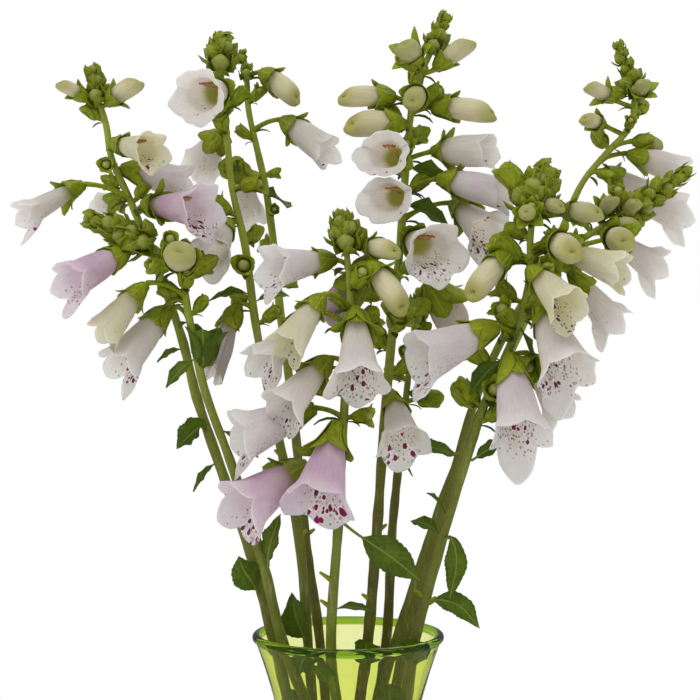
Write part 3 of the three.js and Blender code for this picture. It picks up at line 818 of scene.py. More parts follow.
WHITE, CREAM, BLUSH, LILAC, DRIED = Tint
SPIKES = (
    Spike("spike_far_left", (-.007, -.021), (
        (-.026, -.005, .085), (-.042, .005, .148), (-.054, 0, .195), (-.068, -.004, .236),
        (-.082, -.004, .277), (-.091, -.003, .312), (-.106, 0, .353), (-.119, .002, .385), (-.129, 0, .408),
        (-.132, -.002, .427), (-.137, -.003, .443), (-.138, -.004, .452),
    ), (
        Bud((-.143, -.006, .441), 225, -25, .017, .008),
        Bud((-.13, -.004, .439), 330, -30, .022, .011),
        Bell(CREAM, (-.126, -.008, .415), 315, 8, .034, .022, spots=.7, lip=.08, flare=.22),
        Bell(BLUSH, (-.123, .005, .403), 357, 10, .038, .024, spots=.6, swell=.6),
        Bell(WHITE, (-.146, -.004, .393), 212, 27, .038, .02, spots=.9, lip=.26, lip_width=34, point=.7,
             flare=.3, swell=.5),
        Bell(WHITE, (-.125, .008, .387), 125, 0, .024, .015, spots=.5),
        Bell(LILAC, (-.109, -.009, .382), 322, 3, .044, .03, spots=.9, point=.9, flare=.3),
    ), brown=.25, tip_length=.012, tip_buds=6, tip_size=1.25, greens=((.378, .434, 5, .55),),
       sprigs=((.305, 195, 10, .014, .007), (.244, 190, 40, .016, .008), (.096, 250, -82, .036, .012))),
    Spike("spike_left", (.018, .001), (
        (-.035, -.012, .146), (-.046, -.016, .191), (-.061, -.022, .24), (-.076, -.026, .283),
        (-.084, -.028, .321), (-.089, -.028, .345), (-.104, -.028, .359), (-.119, -.03, .366),
        (-.128, -.032, .37),
    ), (
        Bud((-.088, -.03, .35), 275, -15, .022, .017, green=.25, flat=1),
        Bell(LILAC, (-.118, -.03, .355), 228, 22, .042, .024, spots=.8, lip=.26, lip_width=34, flare=.22,
             swell=.7),
        Bell(CREAM, (-.108, -.032, .337), 203, 46, .034, .02, spots=.2, lip=.1, flare=.08, swell=.3),
        Bell(WHITE, (-.098, -.012, .325), 217, 43, .042, .024, spots=1.2, lip=.3, lip_width=40, point=.1,
             swell=.6, top=1, blunt=1.2),
    ), brown=.2, tip_buds=13, tip_size=1.45, greens=((.318, .358, 6, .8),), stubs=((.215, 180, .003),),
       sprigs=((.262, 20, 20, .022, .011), (.3, 200, 30, .018, .01), (.125, 300, -70, .032, .014)),
       shoots=(((-.076, -.026, .299), 300, -84, 1.15),), tip_reach=.005),
    Spike("spike_mid_left", (-.013, -.007), (
        (-.023, .021, .146), (-.028, .02, .202), (-.041, .018, .265), (-.051, .014, .316),
        (-.057, .012, .361), (-.064, .012, .392), (-.067, .012, .42), (-.069, .012, .443),
        (-.071, .012, .465), (-.07, .012, .477),
    ), (
        Bell(WHITE, (-.068, .004, .446), 248, 10, .034, .029, spots=.1, lip=.08, flare=.3, swell=.6,
             broad=1.1),
        Bell(WHITE, (-.071, .018, .425), 115, 20, .034, .024, spots=.3),
        Bell(WHITE, (-.061, .026, .409), 80, 50, .036, .02, spots=.3),
        Bell(WHITE, (-.066, .008, .374), 250, 35, .032, .025, spots=.3, lip=.2),
        Bell(DRIED, (-.062, .012, .327), 215, 62, .04, .014, spots=0, flare=0, swell=.8, crumple=1),
    ), tip_length=.022, tip_buds=8, tip_size=1.35, greens=((.31, .445, 9, .75),),
       stubs=((.245, 190, .003), (.2, 0, .003)),
       sprigs=((.335, 205, -10, .024, .009), (.33, 0, -30, .022, .01), (.12, 250, -60, .034, .018)),
       tip_reach=-.002),
    Spike("spike_back_left", (-.002, -.015), (
        (-.017, .034, .146), (-.024, .038, .193), (-.031, .042, .264), (-.039, .045, .325),
        (-.042, .045, .358), (-.047, .042, .395), (-.051, .04, .414), (-.057, .04, .441),
        (-.058, .04, .458), (-.06, .04, .473),
    ), (
        Bud((-.048, .036, .461), 330, 30, .027, .013),
        Bell(WHITE, (-.036, .036, .434), 325, 30, .037, .019, spots=.1, lip=.08, flare=.12, swell=1,
             style=.12),
    ), brown=.6, tip_length=.008, tip_buds=4, tip_size=.8, greens=((.33, .455, 6, .5),),
       stubs=((.198, 350, .004),), sprigs=((.392, 300, 0, .024, .016),), tip_reach=0),
    Spike("spike_front", (.01, -.017), (
        (-.009, -.028, .146), (-.005, -.036, .215), (-.002, -.042, .273), (.001, -.044, .329),
        (-.001, -.045, .356), (-.003, -.046, .37),
    ), (
        Bud((.009, -.04, .358), 318, 5, .021, .011),
        Bud((.012, -.046, .347), 315, 40, .031, .0135),
        Bud((.009, -.033, .343), 150, 38, .03, .018, blush=1, flat=.3),
        Bell(BLUSH, (-.009, -.036, .351), 213, 6, .038, .028, spots=.8, point=.8, flare=.25),
        Bell(CREAM, (-.014, -.06, .33), 216, 47, .034, .021, spots=.6, flare=.08, swell=.3),
        Bell(WHITE, (-.022, -.036, .322), 216, 40, .04, .025, point=.8, flare=.25),
        Bell(WHITE, (.004, -.056, .323), 273, 54, .044, .03, lip=.1, point=.2, flare=.22, swell=.1,
             blunt=1),
        Bell(WHITE, (-.011, -.052, .298), 218, 38, .04, .027, lip=.1, point=.2, flare=.22, swell=.3,
             lobes=.6),
        Bell(BLUSH, (-.02, -.042, .273), 196, 18, .043, .033, spots=.9, lip=.2, point=.5, flare=.2,
             swell=.3, lobes=.6),
        Bell(LILAC, (-.006, -.056, .264), 243, 58, .044, .037, lip=.12, point=.6, flare=.2, swell=0,
             blunt=1.2),
        Bell(LILAC, (-.024, -.04, .243), 213, 26, .044, .035, lip=.06, point=.25, flare=.2, style=.1,
             blunt=1),
    ), brown=0, tip_length=.017, tip_buds=8, tip_size=1.4, greens=((.308, .35, 4, .75), (.262, .3, 3, .8)),
       stubs=((.182, 200, .007), (.168, 190, .005)),
       sprigs=((.167, 30, -10, .026, .007), (.12, 200, -65, .03, .014))),
    Spike("spike_centre", (-.007, .021), (
        (.011, .006, .146), (.016, .008, .206), (.02, .008, .265), (.025, .008, .321), (.029, .006, .367),
        (.032, .004, .408), (.035, .002, .438), (.039, 0, .453), (.046, 0, .469), (.05, 0, .48),
    ), (
        Bud((.038, -.006, .462), 236, -20, .017, .013, green=.5),
        Bud((.049, 0, .459), 330, -35, .023, .011, green=.2),
        Bud((.039, -.006, .444), 248, 25, .015, .012, green=.5),
        Bud((.023, -.002, .442), 210, 0, .03, .012),
        Bud((.028, -.004, .427), 210, 0, .031, .015),
        Bud((.048, .002, .437), 330, 5, .035, .013),
        Bell(WHITE, (.048, .004, .413), 325, 1, .036, .019, spots=.05, lip=.08, point=.7, flare=.08,
             swell=1.4, top=1, lobes=.6),
        Bell(WHITE, (.028, -.006, .407), 252, -3, .033, .0242, spots=.1, lip=.05, point=.1, flare=.3,
             swell=.7, broad=1.2),
        Bell(WHITE, (.03, -.006, .388), 250, 6, .033, .0242, spots=.1, lip=.06, point=.1, flare=.3,
             swell=.7, broad=1.22),
        Bell(BLUSH, (.051, -.002, .397), 326, 12, .043, .02, spots=.05, lip=.1, point=.7, flare=.12,
             swell=1.1, top=1, lobes=.6),
        Bell(WHITE, (.033, -.01, .364), 290, 12, .04, .033, lip=.12, point=.6, flare=.25, swell=.1),
        Bell(WHITE, (.059, .01, .384), 308, 30, .036, .03, point=.5, flare=.25),
    ), brown=.6, tip_length=.014, tip_buds=9, tip_size=1.05,
       greens=((.385, .46, 8, .75), (.285, .35, 6, .9)), stubs=((.204, 0, .004), (.166, 200, .004)),
       sprigs=((.253, 330, 30, .02, .009), (.37, 330, 20, .03, .016), (.404, 350, 5, .024, .016),
       (.384, 340, 10, .026, .018), (.125, 280, -70, .032, .016)), tip_reach=.004),
    Spike("spike_behind", (.003, .005), (
        (.022, .026, .146), (.025, .028, .204), (.032, .032, .27), (.037, .034, .313), (.04, .034, .332),
    ), (
        Bell(WHITE, (.024, -.014, .279), 284, 46, .034, .029, point=.8, flare=.25),
        Bud((.047, .028, .34), 40, 45, .034, .021, blush=.5, flat=.3),
    ), brown=.7, tip_length=.014, tip_buds=7, greens=((.27, .325, 5, .9),),
       sprigs=((.28, 300, -10, .022, .012),), tip_reach=.003),
    Spike("spike_right", (.017, .009), (
        (.035, -.019, .146), (.049, -.024, .2), (.062, -.03, .246), (.073, -.034, .279),
        (.087, -.038, .312), (.094, -.04, .338), (.095, -.04, .364), (.098, -.04, .387), (.1, -.04, .395),
    ), (
        Bud((.093, -.046, .374), 260, -5, .014, .009, green=.5),
        Bud((.1, -.04, .38), 305, 5, .017, .008, green=.5),
        Bud((.113, -.038, .376), 315, 0, .022, .011, green=.4),
        Bud((.082, -.044, .353), 220, 35, .032, .0135),
        Bud((.106, -.048, .36), 292, 15, .021, .0145, flat=1),
        Bell(CREAM, (.112, -.036, .356), 330, 17, .037, .021, spots=.3, lip=.14, point=.7, flare=.1,
             swell=.3),
        Bell(CREAM, (.094, -.058, .344), 303, 32, .036, .023, spots=.7, flare=.12, swell=.3),
        Bell(WHITE, (.119, -.026, .344), 20, 45, .036, .025, spots=.4, lip=.22, point=1, flare=.25),
        Bell(WHITE, (.099, -.048, .326), 297, 50, .045, .033, lip=.3, point=1, flare=.2),
        Bell(BLUSH, (.083, -.052, .299), 278, 55, .048, .031, lip=.34, point=.8, flare=.2, swell=.5),
        Bell(WHITE, (.096, -.032, .3), 25, 52, .034, .024, spots=.3, lip=.2),
        Bell(BLUSH, (.074, -.054, .315), 200, 19, .048, .033, spots=1.1, point=.25, lobes=.45),
    ), tip_length=.022, tip_size=1.65, greens=((.262, .385, 18, 1),),
       stubs=((.168, 330, .006), (.172, 200, .005)), sprigs=((.3, 200, 30, .022, .013),
       (.318, 320, 60, .026, .015), (.335, 340, 20, .026, .015), (.28, 315, 40, .03, .018),
       (.215, 205, -60, .024, .006), (.205, 160, -40, .022, .01), (.13, 290, -65, .034, .016)),
       tip_reach=-.003),
    Spike("spike_far_right", (-.014, .001), (
        (.028, .015, .146), (.039, .017, .179), (.057, .02, .231), (.078, .022, .277), (.097, .024, .315),
        (.116, .028, .36), (.131, .03, .396), (.145, .03, .414), (.159, .03, .43), (.162, .03, .448),
        (.157, .03, .465),
    ), (
        Bud((.149, .028, .446), 215, -20, .02, .009),
        Bud((.143, .026, .431), 225, -10, .017, .009),
        Bud((.164, .03, .447), 275, -35, .014, .009, green=.7),
        Bud((.163, .03, .422), 20, 0, .015, .009, green=.7),
        Bell(WHITE, (.161, .034, .415), 338, 18, .033, .017, spots=.05, lip=.06, flare=.08, swell=1.2,
             top=1),
        Bell(WHITE, (.146, .034, .405), 30, 15, .032, .016, spots=.1, swell=.7),
    ), brown=.2, tip_length=.022, tip_buds=11, tip_size=1.1, greens=((.4, .455, 5, .7),), tip_reach=.01),
    Spike("spike_arching", (.005, -.011), (
        (.031, -.003, .146), (.041, -.003, .179), (.055, -.004, .228), (.068, -.006, .274),
        (.082, -.008, .307), (.101, -.008, .339), (.12, -.006, .359), (.14, -.002, .372), (.159, 0, .383),
        (.173, 0, .393),
    ), (
        Bud((.142, -.014, .364), 280, 5, .018, .0145, flat=.8),
        Bud((.138, -.002, .377), 290, -40, .016, .009, green=.5),
        Bud((.149, -.002, .378), 295, -25, .016, .008, green=.7),
        Bud((.143, -.006, .372), 315, 0, .017, .009, green=.5),
        Bell(WHITE, (.156, .014, .388), 18, 12, .033, .027, spots=.2, lip=.26, point=1, flare=.3),
        Bell(WHITE, (.143, .008, .367), 15, 28, .035, .025, spots=.2, lip=.26, point=1, flare=.3),
    ), brown=.4, tip_buds=14, tip_size=1.3, greens=((.35, .38, 8, .65),),
       sprigs=((.335, 300, 10, .03, .018), (.3, 330, 20, .026, .014), (.1, 275, -80, .036, .018)),
       tip_reach=.012),
)
LEAVES = (
    Leaf("leaf_left", "spike_far_left", .26,
    ((-.08, -.01, .263), (-.087, -.014, .257), (-.092, -.016, .251)),
         .017, 60),
    Leaf("leaf_broad", "spike_far_left", .172,
         ((-.053, -.006, .179), (-.057, -.01, .186), (-.059, -.012, .193)), .017, 65),
    Leaf("leaf_clasping", "spike_left", .188,
         ((-.042, -.022, .198), (-.039, -.024, .208), (-.036, -.024, .217)), .013, 75),
    Leaf("leaf_in_mouth", "spike_mid_left", .141,
         ((-.027, .012, .15), (-.03, .006, .161), (-.031, .003, .171)), .019, 75),
    Leaf("leaf_dark", "spike_front", .214,
         ((.004, -.043, .209), (.012, -.046, .204), (.025, -.047, .195), (.037, -.046, .185)), .018, 70,
         .27),
    Leaf("leaf_hanging", "spike_right", .2,
         ((.052, -.03, .206), (.0555, -.033, .203), (.057, -.034, .192), (.0535, -.034, .174)), .0125, 75,
         .22),
    Leaf("leaf_low", "spike_right", .17, ((.048, -.028, .172), (.059, -.032, .169), (.069, -.034, .158)),
         .013, 50),
    Leaf("leaf_inner", "spike_right", .249, ((.056, -.024, .249), (.045, -.014, .252), (.03, -.006, .254)),
         .01, 55),
    Leaf("leaf_right", "spike_right", .247, ((.071, -.033, .25), (.077, -.036, .254), (.082, -.038, .259)),
         .01, 55),
)


# Flowers

@dataclass
class Corolla:
    """One open bell: a tube that widens to a five-lobed mouth, with stamens under its upper side."""

    bell: Bell
    seed: int
    around: int = 50
    stations: int = 26
    sag: float = 0.05
    wall: float = 0.0006
    rim_wall: float = 0.00025
    filament: float = 0.0004
    cone: tuple[tuple[float, float], ...] = (
        (0, .22), (.04, .25), (.12, .37), (.25, .48), (.5, .65), (.72, .80), (.88, .92), (1, 1), (1.4, 1.1),
    )
    tube: tuple[tuple[float, float], ...] = (
        (0, .24), (.04, .30), (.12, .52), (.25, .72), (.45, .86), (.7, .93), (.88, .97), (1, 1), (1.4, 1.05),
    )

    def __post_init__(self) -> None:
        """Draw the bell's own irregularities from its seed."""
        draw = random.Random(self.seed)
        self.phases = [draw.uniform(0, 2 * math.pi) for _ in range(8)]
        self.offset = (draw.uniform(0, 9), draw.uniform(0, 9))
        self.sizes = [draw.uniform(0.7, 1.3) for _ in range(5)]
        self.axes = Axes.facing(self.bell.bearing, self.bell.dip)
        self.base = np.array(self.bell.calyx)
        self.half = self.bell.width / 2

    def reach(self, turn: np.ndarray) -> np.ndarray:
        """Give how far the rim reaches at each angle, as a share of the length."""
        bell = self.bell
        low = 0.5 - 0.5 * np.sin(turn)
        lobes = (
            (270.0, bell.lip_width, bell.lip + 0.03),
            *((middle, 35.0, 0.15 * bell.lobes) for middle in (346.0, 194.0)),
            *((middle, 34.0, 0.12 * bell.lobes) for middle in (58.0, 122.0)),
        )
        angle = np.degrees(turn) % 360
        crest = np.zeros_like(turn)
        for (middle, half, height), size in zip(lobes, self.sizes):
            away = np.clip(np.abs((angle - middle + 180) % 360 - 180) / half, 0, 1)
            rounded, sharp = (1 - away ** 2) ** 0.6, 1.1 * (1 - away) ** 0.85
            point = min(1.0, bell.point * size)
            shape = rounded * (1 - point) + sharp * point
            crest = np.maximum(crest, height * shape * (size if middle != 270.0 else 1.0))
        return bell.top - 0.09 + (1.0 - bell.top) * low + crest

    def _profile(self, share: np.ndarray) -> np.ndarray:
        """Give the tube's radius as a share of half the mouth, between a cone and a straighter tube."""
        cone = np.interp(share, *zip(*self.cone))
        tube = np.interp(share, *zip(*self.tube))
        return cone * (1 - self.bell.swell) + tube * self.bell.swell

    def radius(self, height: float) -> float:
        """Give the tube's radius at a distance from its foot."""
        share = np.array(height / self.bell.length)
        return self.half * (1 - self.bell.flare) * float(self._profile(share))

    def skin(self) -> tuple[np.ndarray, dict[str, np.ndarray]]:
        """Work out the outer surface and what is stored at its points."""
        bell, half, phases = self.bell, self.half, self.phases
        turn = turns(self.around)
        depth = (np.linspace(0, 1, self.stations) ** 0.85)[:, None]
        share = depth * self.reach(turn)[None, :]
        low = (0.5 - 0.5 * np.sin(turn))[None, :] * np.ones_like(share)
        flare = ease(0.74, 1.0, depth) ** 1.6 * (0.75 + 0.3 * low)
        radius = half * (self._profile(share) * (1 - bell.flare) + bell.flare * flare)
        radius = radius + half * (0.06 + 0.45 * bell.flare) * np.clip((share - 0.94) / 0.2, 0, 1)
        wave = sum(
            amount * np.sin(count * turn + phase)
            for amount, count, phase in zip((.03, .035, .025, .018), (3, 5, 8, 13), phases)
        )
        radius = radius + half * ease(0.6, 1.0, depth) ** 1.5 * wave[None, :]
        pleat = 0.018 * ease(0.2, 0.8, share) * np.cos(5 * turn + phases[5])[None, :]
        belly = 0.07 * np.sin(np.clip(share, 0, 1) * math.pi) * low
        radius = radius * (1 + belly + pleat + 0.02 * np.sin(2 * turn + phases[4])[None, :])
        if bell.crumple:
            radius = radius * self._crumpled(turn, share)
        axes, length = self.axes, bell.length
        wide = 1 + (bell.broad - 1) * ease(0.3, 1.0, depth)
        flat = ((radius * wide * np.cos(turn))[..., None] * axes.side
                + (radius * np.sin(turn))[..., None] * axes.top)
        along = share - 0.25 * bell.flare * ease(0.85, 1.0, depth) * np.clip(share - 0.9, 0, 1)
        sag = (self.sag * length * along ** 2)[..., None] * axes.top
        points = self.base + along[..., None] * length * axes.axis + flat - sag
        swing = (turn - 1.5 * math.pi + math.pi) % (2 * math.pi) - math.pi
        place = np.stack((
            swing[None, :] * half * 0.8 * np.ones_like(share) + self.offset[0],
            share * length + self.offset[1],
            np.zeros_like(share),
        ), axis=-1)
        local = np.stack((radius * np.cos(turn), radius * np.sin(turn), share * length), axis=-1)
        return points, {"along": share, "low": low, "map": place, "local": local + self.offset[0]}

    def _crumpled(self, turn: np.ndarray, share: np.ndarray) -> np.ndarray:
        """Fold a withered bell into uneven pleats."""
        pleat = 0.22 * np.sin(5 * turn[None, :] + self.phases[5] + 2.5 * share)
        ripple = 0.10 * np.sin(11 * turn[None, :] + 5 * share + self.phases[6])
        return 0.9 + (pleat + ripple) * ease(0.1, 0.6, share) * self.bell.crumple

    def draft(self) -> Draft:
        """Build the bell with its inner wall and its stamens."""
        draft = Draft()
        outer, values = self.skin()
        rows, columns = outer.shape[:2]
        normal = np.cross(np.roll(outer, -1, axis=1) - np.roll(outer, 1, axis=1), np.gradient(outer, axis=0))
        normal /= np.linalg.norm(normal, axis=-1, keepdims=True) + TINY
        thick = np.interp(np.linspace(0, 1, rows), (0, 0.7, 1), (self.wall, self.wall, self.rim_wall))
        inner = outer - normal * thick[:, None, None]
        inner[0] = inner[0] + self.axes.axis * self.wall * 2
        draft.loft(np.concatenate((outer, inner[::-1])), spots=self.bell.spots)
        stored = {"inner": np.concatenate((np.repeat((0.0, 1.0), rows * columns), (0, 1)))}
        for name, value in values.items():
            grid = np.concatenate((value, value[::-1]))
            flat = grid.reshape(2 * rows * columns, *grid.shape[2:])
            stored[name] = np.concatenate((flat, flat[:1], flat[-1:]))
        draft.values[-1] |= {name: value.astype(np.float32) for name, value in stored.items()}
        self._stamens(draft)
        return draft

    def _inside(self, share: float, lift: float, aside: float) -> np.ndarray:
        """Find a point inside the tube, measured as shares of its length and of its radius there."""
        length = self.bell.length
        radius = self.radius(share * length)
        drop = self.sag * length * share ** 2
        return (self.base + self.axes.axis * share * length + self.axes.side * aside * radius
                + self.axes.top * (lift * radius - drop))

    def _stamens(self, draft: Draft) -> None:
        """Add two pairs of anthers on filaments under the upper side, and the style between them."""
        axes = self.axes
        for reach, aside in ((0.60, 0.22), (0.60, -0.22), (0.70, 0.16), (0.70, -0.16)):
            line = np.array([self._inside(share * reach, 0.25 + 0.35 * share, aside * share)
                             for share in (0.15, 0.4, 0.7, 1.0)])
            draft.tube(line, self.filament, 5, 1, along=0.0)
            for lean in (-1, 1):
                way = unit(axes.side * lean + axes.top * 0.25 - axes.axis * 0.3)
                pod = np.array([line[-1] + way * step for step in (0.0, 0.0005, 0.0011, 0.0016, 0.0019)])
                draft.tube(pod, (0.0003, 0.0006, 0.0007, 0.0005, 0.0002), 6, 1, along=1.0)
        shares = np.linspace(0.1, 0.74 + self.bell.style, 7)
        line = np.array([self._inside(share, 0.15 + 0.45 * share, 0.03) for share in shares])
        if self.bell.style > 0.05:
            curl = ease(0.8, 0.74 + self.bell.style, shares)[:, None] * 0.004
            line = line + curl * (axes.top * 0.4 - axes.side * 0.9)
        draft.tube(line, self.filament, 5, 1, along=0.15)


@dataclass
class ClosedCorolla:
    """A corolla that hasn't opened: a club whose blunt end is folded in and pressed flat."""

    bud: Bud
    seed: int
    around: int = 20
    fold: float = 0.3
    stations: tuple[tuple[float, float, float], ...] = (
        (0, .44, .44), (.06, .58, .58), (.18, .77, .77), (.35, .89, .89), (.55, .97, .96), (.74, 1, .95),
        (.86, .96, .84), (.94, .84, .66), (.985, .62, .42), (1.0, .44, .24), (.98, .26, .10), (.94, .10, .03),
    )

    def add_to(self, draft: Draft) -> None:
        """Add the closed corolla to a mesh."""
        bud = self.bud
        draw = random.Random(self.seed)
        axes = Axes.facing(bud.bearing, bud.dip).rolled(draw.uniform(-0.3, 0.3))
        turn = turns(self.around)
        phase = draw.uniform(0, 6)
        rings = []
        for index, (share, wide, high) in enumerate(self.stations):
            high = wide * (1 - bud.flat) + high * bud.flat
            pleat = 1 + 0.05 * ease(0.6, 1, share) * np.cos(5 * turn + phase)
            pleat += self.fold * ease(7, 10, index) * np.cos(3 * turn + phase)
            side, top = wide * np.cos(turn) * pleat, high * np.sin(turn) * pleat
            droop = 0.10 * share ** 2 * bud.length
            centre = np.array(bud.calyx) + axes.axis * share * bud.length - axes.top * droop
            oblique = 0.14 * bud.width * ease(0.55, 0.95, share) * np.outer(0.3 - np.sin(turn), axes.axis)
            ring = (np.outer(side, axes.side) + np.outer(top, axes.top)) * bud.width / 2
            rings.append(centre + ring + oblique)
        along = np.linspace(0, 1, len(rings)) * 0.2 + np.array(self.stations)[:, 0] * 0.8
        draft.loft(np.array(rings), 0, along=along, green=bud.green, blush=bud.blush)
        flat = np.concatenate((*rings, [rings[0].mean(axis=0), rings[-1].mean(axis=0)])) - np.array(bud.calyx)
        local = np.stack((flat @ axes.side, flat @ axes.top, flat @ axes.axis), axis=1)
        draft.values[-1]["local"] = local.astype(np.float32)

    def radius(self, height: float) -> float:
        """Give the tube's half width at a distance from its foot."""
        shares, wide, _ = zip(*self.stations[:7])
        return float(np.interp(height / self.bud.length, shares, wide)) * self.bud.width / 2


# Green parts

def route(name: str, line: np.ndarray, radii: Iterable[float]) -> bpy.types.Curve:
    """Lay a curve through points, with a radius at each."""
    curve = bpy.data.curves.new(name + "_route", "CURVE")
    curve.dimensions = "3D"
    spline = curve.splines.new("POLY")
    spline.points.add(len(line) - 1)
    for point, place, radius in zip(spline.points, line, radii):
        point.co, point.radius = (*place, 1.0), radius
    return curve


class Grower:
    """A geometry node tree that turns points or a route into a piece."""

    def __init__(self, name: str, finish: bpy.types.Material, **sockets: str) -> None:
        """Start the tree.

        Args:
            name: Its name.
            finish: The material of every piece that it makes.
            **sockets: The type of each named input, with _ for a space in the name.
        """
        self.graph = Group(name, "GeometryNodeTree", Geometry="Geometry", Finish="Material", **sockets)
        self.inlet, self.finish = self.graph.inlet, finish

    def _chance(self, low: Any, high: Any) -> Any:
        """Draw a number for each copy, by the seed."""
        inputs = {"Min": low, "Max": high, "Seed": self.inlet["Seed"]}
        return self.graph.out("FunctionNodeRandomValue", inputs, 1, data_type="FLOAT")

    def _copies(self, points: Any, copy: Any, turn: Any, scale: Any) -> Any:
        """Put a copy of an object at each point."""
        shape = self.graph.node("GeometryNodeObjectInfo", {"Object": copy}).outputs["Geometry"]
        return self.graph.out("GeometryNodeInstanceOnPoints", {
            "Points": points, "Instance": shape, "Rotation": turn, "Scale": scale,
        })

    def _end(self, geometry: Any) -> None:
        """End the tree by making its copies real and setting the finish."""
        real = self.graph.out("GeometryNodeRealizeInstances", {"Geometry": geometry})
        inputs = {"Geometry": real, "Material": self.inlet["Finish"]}
        self.graph.end({"Geometry": "Geometry"}, self.graph.out("GeometryNodeSetMaterial", inputs))

    def _grown(self, name: str, start: bpy.types.Mesh | bpy.types.Curve, **values: Any) -> bpy.types.Object:
        """Run the tree and give the result as a plain mesh.

        Args:
            name: The new piece's name.
            start: The points or the route to start from.
            **values: The tree's inputs, with _ for a space in the name.

        Returns:
            The new piece.
        """
        values["Finish"] = self.finish
        holder = show(bpy.data.objects.new(name + "_start", start))
        modifier = holder.modifiers.new("grow", "NODES")
        modifier.node_group = self.graph.tree
        for item in self.graph.tree.interface.items_tree:
            key = item.name.replace(" ", "_")
            if item.in_out == "INPUT" and key in values:
                modifier[item.identifier] = values[key]
        scene_graph = bpy.context.evaluated_depsgraph_get()
        scene_graph.update()
        mesh = bpy.data.meshes.new_from_object(holder.evaluated_get(scene_graph), depsgraph=scene_graph)
        mesh.name = name
        holder.modifiers.remove(modifier)
        bpy.data.objects.remove(holder)
        return show(bpy.data.objects.new(name, mesh))


class CopyPlacer(Grower):
    """Places copies of a small shape at points that carry a turn and a size."""

    def __init__(self, copy: bpy.types.Object, finish: bpy.types.Material) -> None:
        """Build the tree for a shape that points along +Z from the origin."""
        super().__init__("place_copies", finish, Copy="Object", Wobble="Float", Seed="Int")
        self.copy = copy
        graph, inlet = self.graph, self.inlet
        turn = graph.out("GeometryNodeInputNamedAttribute", {"Name": "turn"}, data_type="FLOAT_VECTOR")
        size = graph.out("GeometryNodeInputNamedAttribute", {"Name": "size"}, data_type="FLOAT")
        chance = self._chance(graph.minus(1.0, inlet["Wobble"]), graph.plus(1.0, inlet["Wobble"]))
        self._end(self._copies(inlet["Geometry"], inlet["Copy"], turn, graph.times(size, chance)))

    def place(self, name: str, spots: list[Spot], wobble: float, seed: int) -> bpy.types.Object:
        """Place a copy at each spot.

        Args:
            name: The new piece's name.
            spots: Each copy's place, facing and size.
            wobble: How far sizes vary, as a share.
            seed: The seed of that variation.

        Returns:
            The new piece.
        """
        mesh = bpy.data.meshes.new(name + "_points")
        mesh.from_pydata([tuple(place) for place, _, _ in spots], [], [])
        turn = mesh.attributes.new("turn", "FLOAT_VECTOR", "POINT")
        turn.data.foreach_set("vector", np.array([axes.euler() for _, axes, _ in spots], np.float32).ravel())
        size = mesh.attributes.new("size", "FLOAT", "POINT")
        size.data.foreach_set("value", np.array([scale for _, _, scale in spots], np.float32))
        return self._grown(name, mesh, Copy=self.copy, Wobble=wobble, Seed=seed)


class StemGrower(Grower):
    """Sweeps a ribbed section along a stem's route."""

    def __init__(self, finish: bpy.types.Material) -> None:
        """Build the tree."""
        super().__init__("ribbed_sweep", finish,
                         Sides="Int", Ribs="Float", Rib_Depth="Float", Knottiness="Float")
        graph, inlet = self.graph, self.inlet
        circle = graph.out("GeometryNodeCurvePrimitiveCircle", {"Resolution": inlet["Sides"], "Radius": 1.0})
        index, place, radius = (graph.out("GeometryNodeInput" + kind)
                                for kind in ("Index", "Position", "Radius"))
        turn = graph.math("DIVIDE", graph.times(index, 2 * math.pi), inlet["Sides"])
        rib = graph.times(graph.math("COSINE", graph.times(turn, inlet["Ribs"])), inlet["Rib Depth"])
        pushed = graph.vector("SCALE", {0: place, "Scale": graph.plus(1.0, rib)})
        section = graph.out("GeometryNodeSetPosition", {"Geometry": circle, "Position": pushed})
        bulge = graph.times(graph.minus(graph.noise(place, 70.0), 0.5), inlet["Knottiness"])
        full = graph.times(radius, graph.plus(1.0, bulge))
        curve = graph.out("GeometryNodeSetCurveRadius", {"Curve": inlet["Geometry"], "Radius": full})
        swept = graph.out("GeometryNodeCurveToMesh", {
            "Curve": curve, "Profile Curve": section, "Fill Caps": True, "Scale": full,
        })
        self._end(graph.out("GeometryNodeSetShadeSmooth", {"Geometry": swept}))

    def sweep(self, name: str, line: np.ndarray, radii: np.ndarray, brown: float) -> bpy.types.Object:
        """Sweep one stem.

        Args:
            name: The new piece's name.
            line: The points of its middle.
            radii: Its radius at each of them.
            brown: How brown it is low down, from 0 to 1.

        Returns:
            The new piece.
        """
        start = route(name, line, radii)
        piece = self._grown(name, start, Sides=24, Ribs=8.0, Rib_Depth=0.045, Knottiness=0.25)
        attribute = piece.data.attributes.new("brown", "FLOAT", "POINT")
        attribute.data.foreach_set("value", np.full(len(piece.data.vertices), brown, np.float32))
        return piece


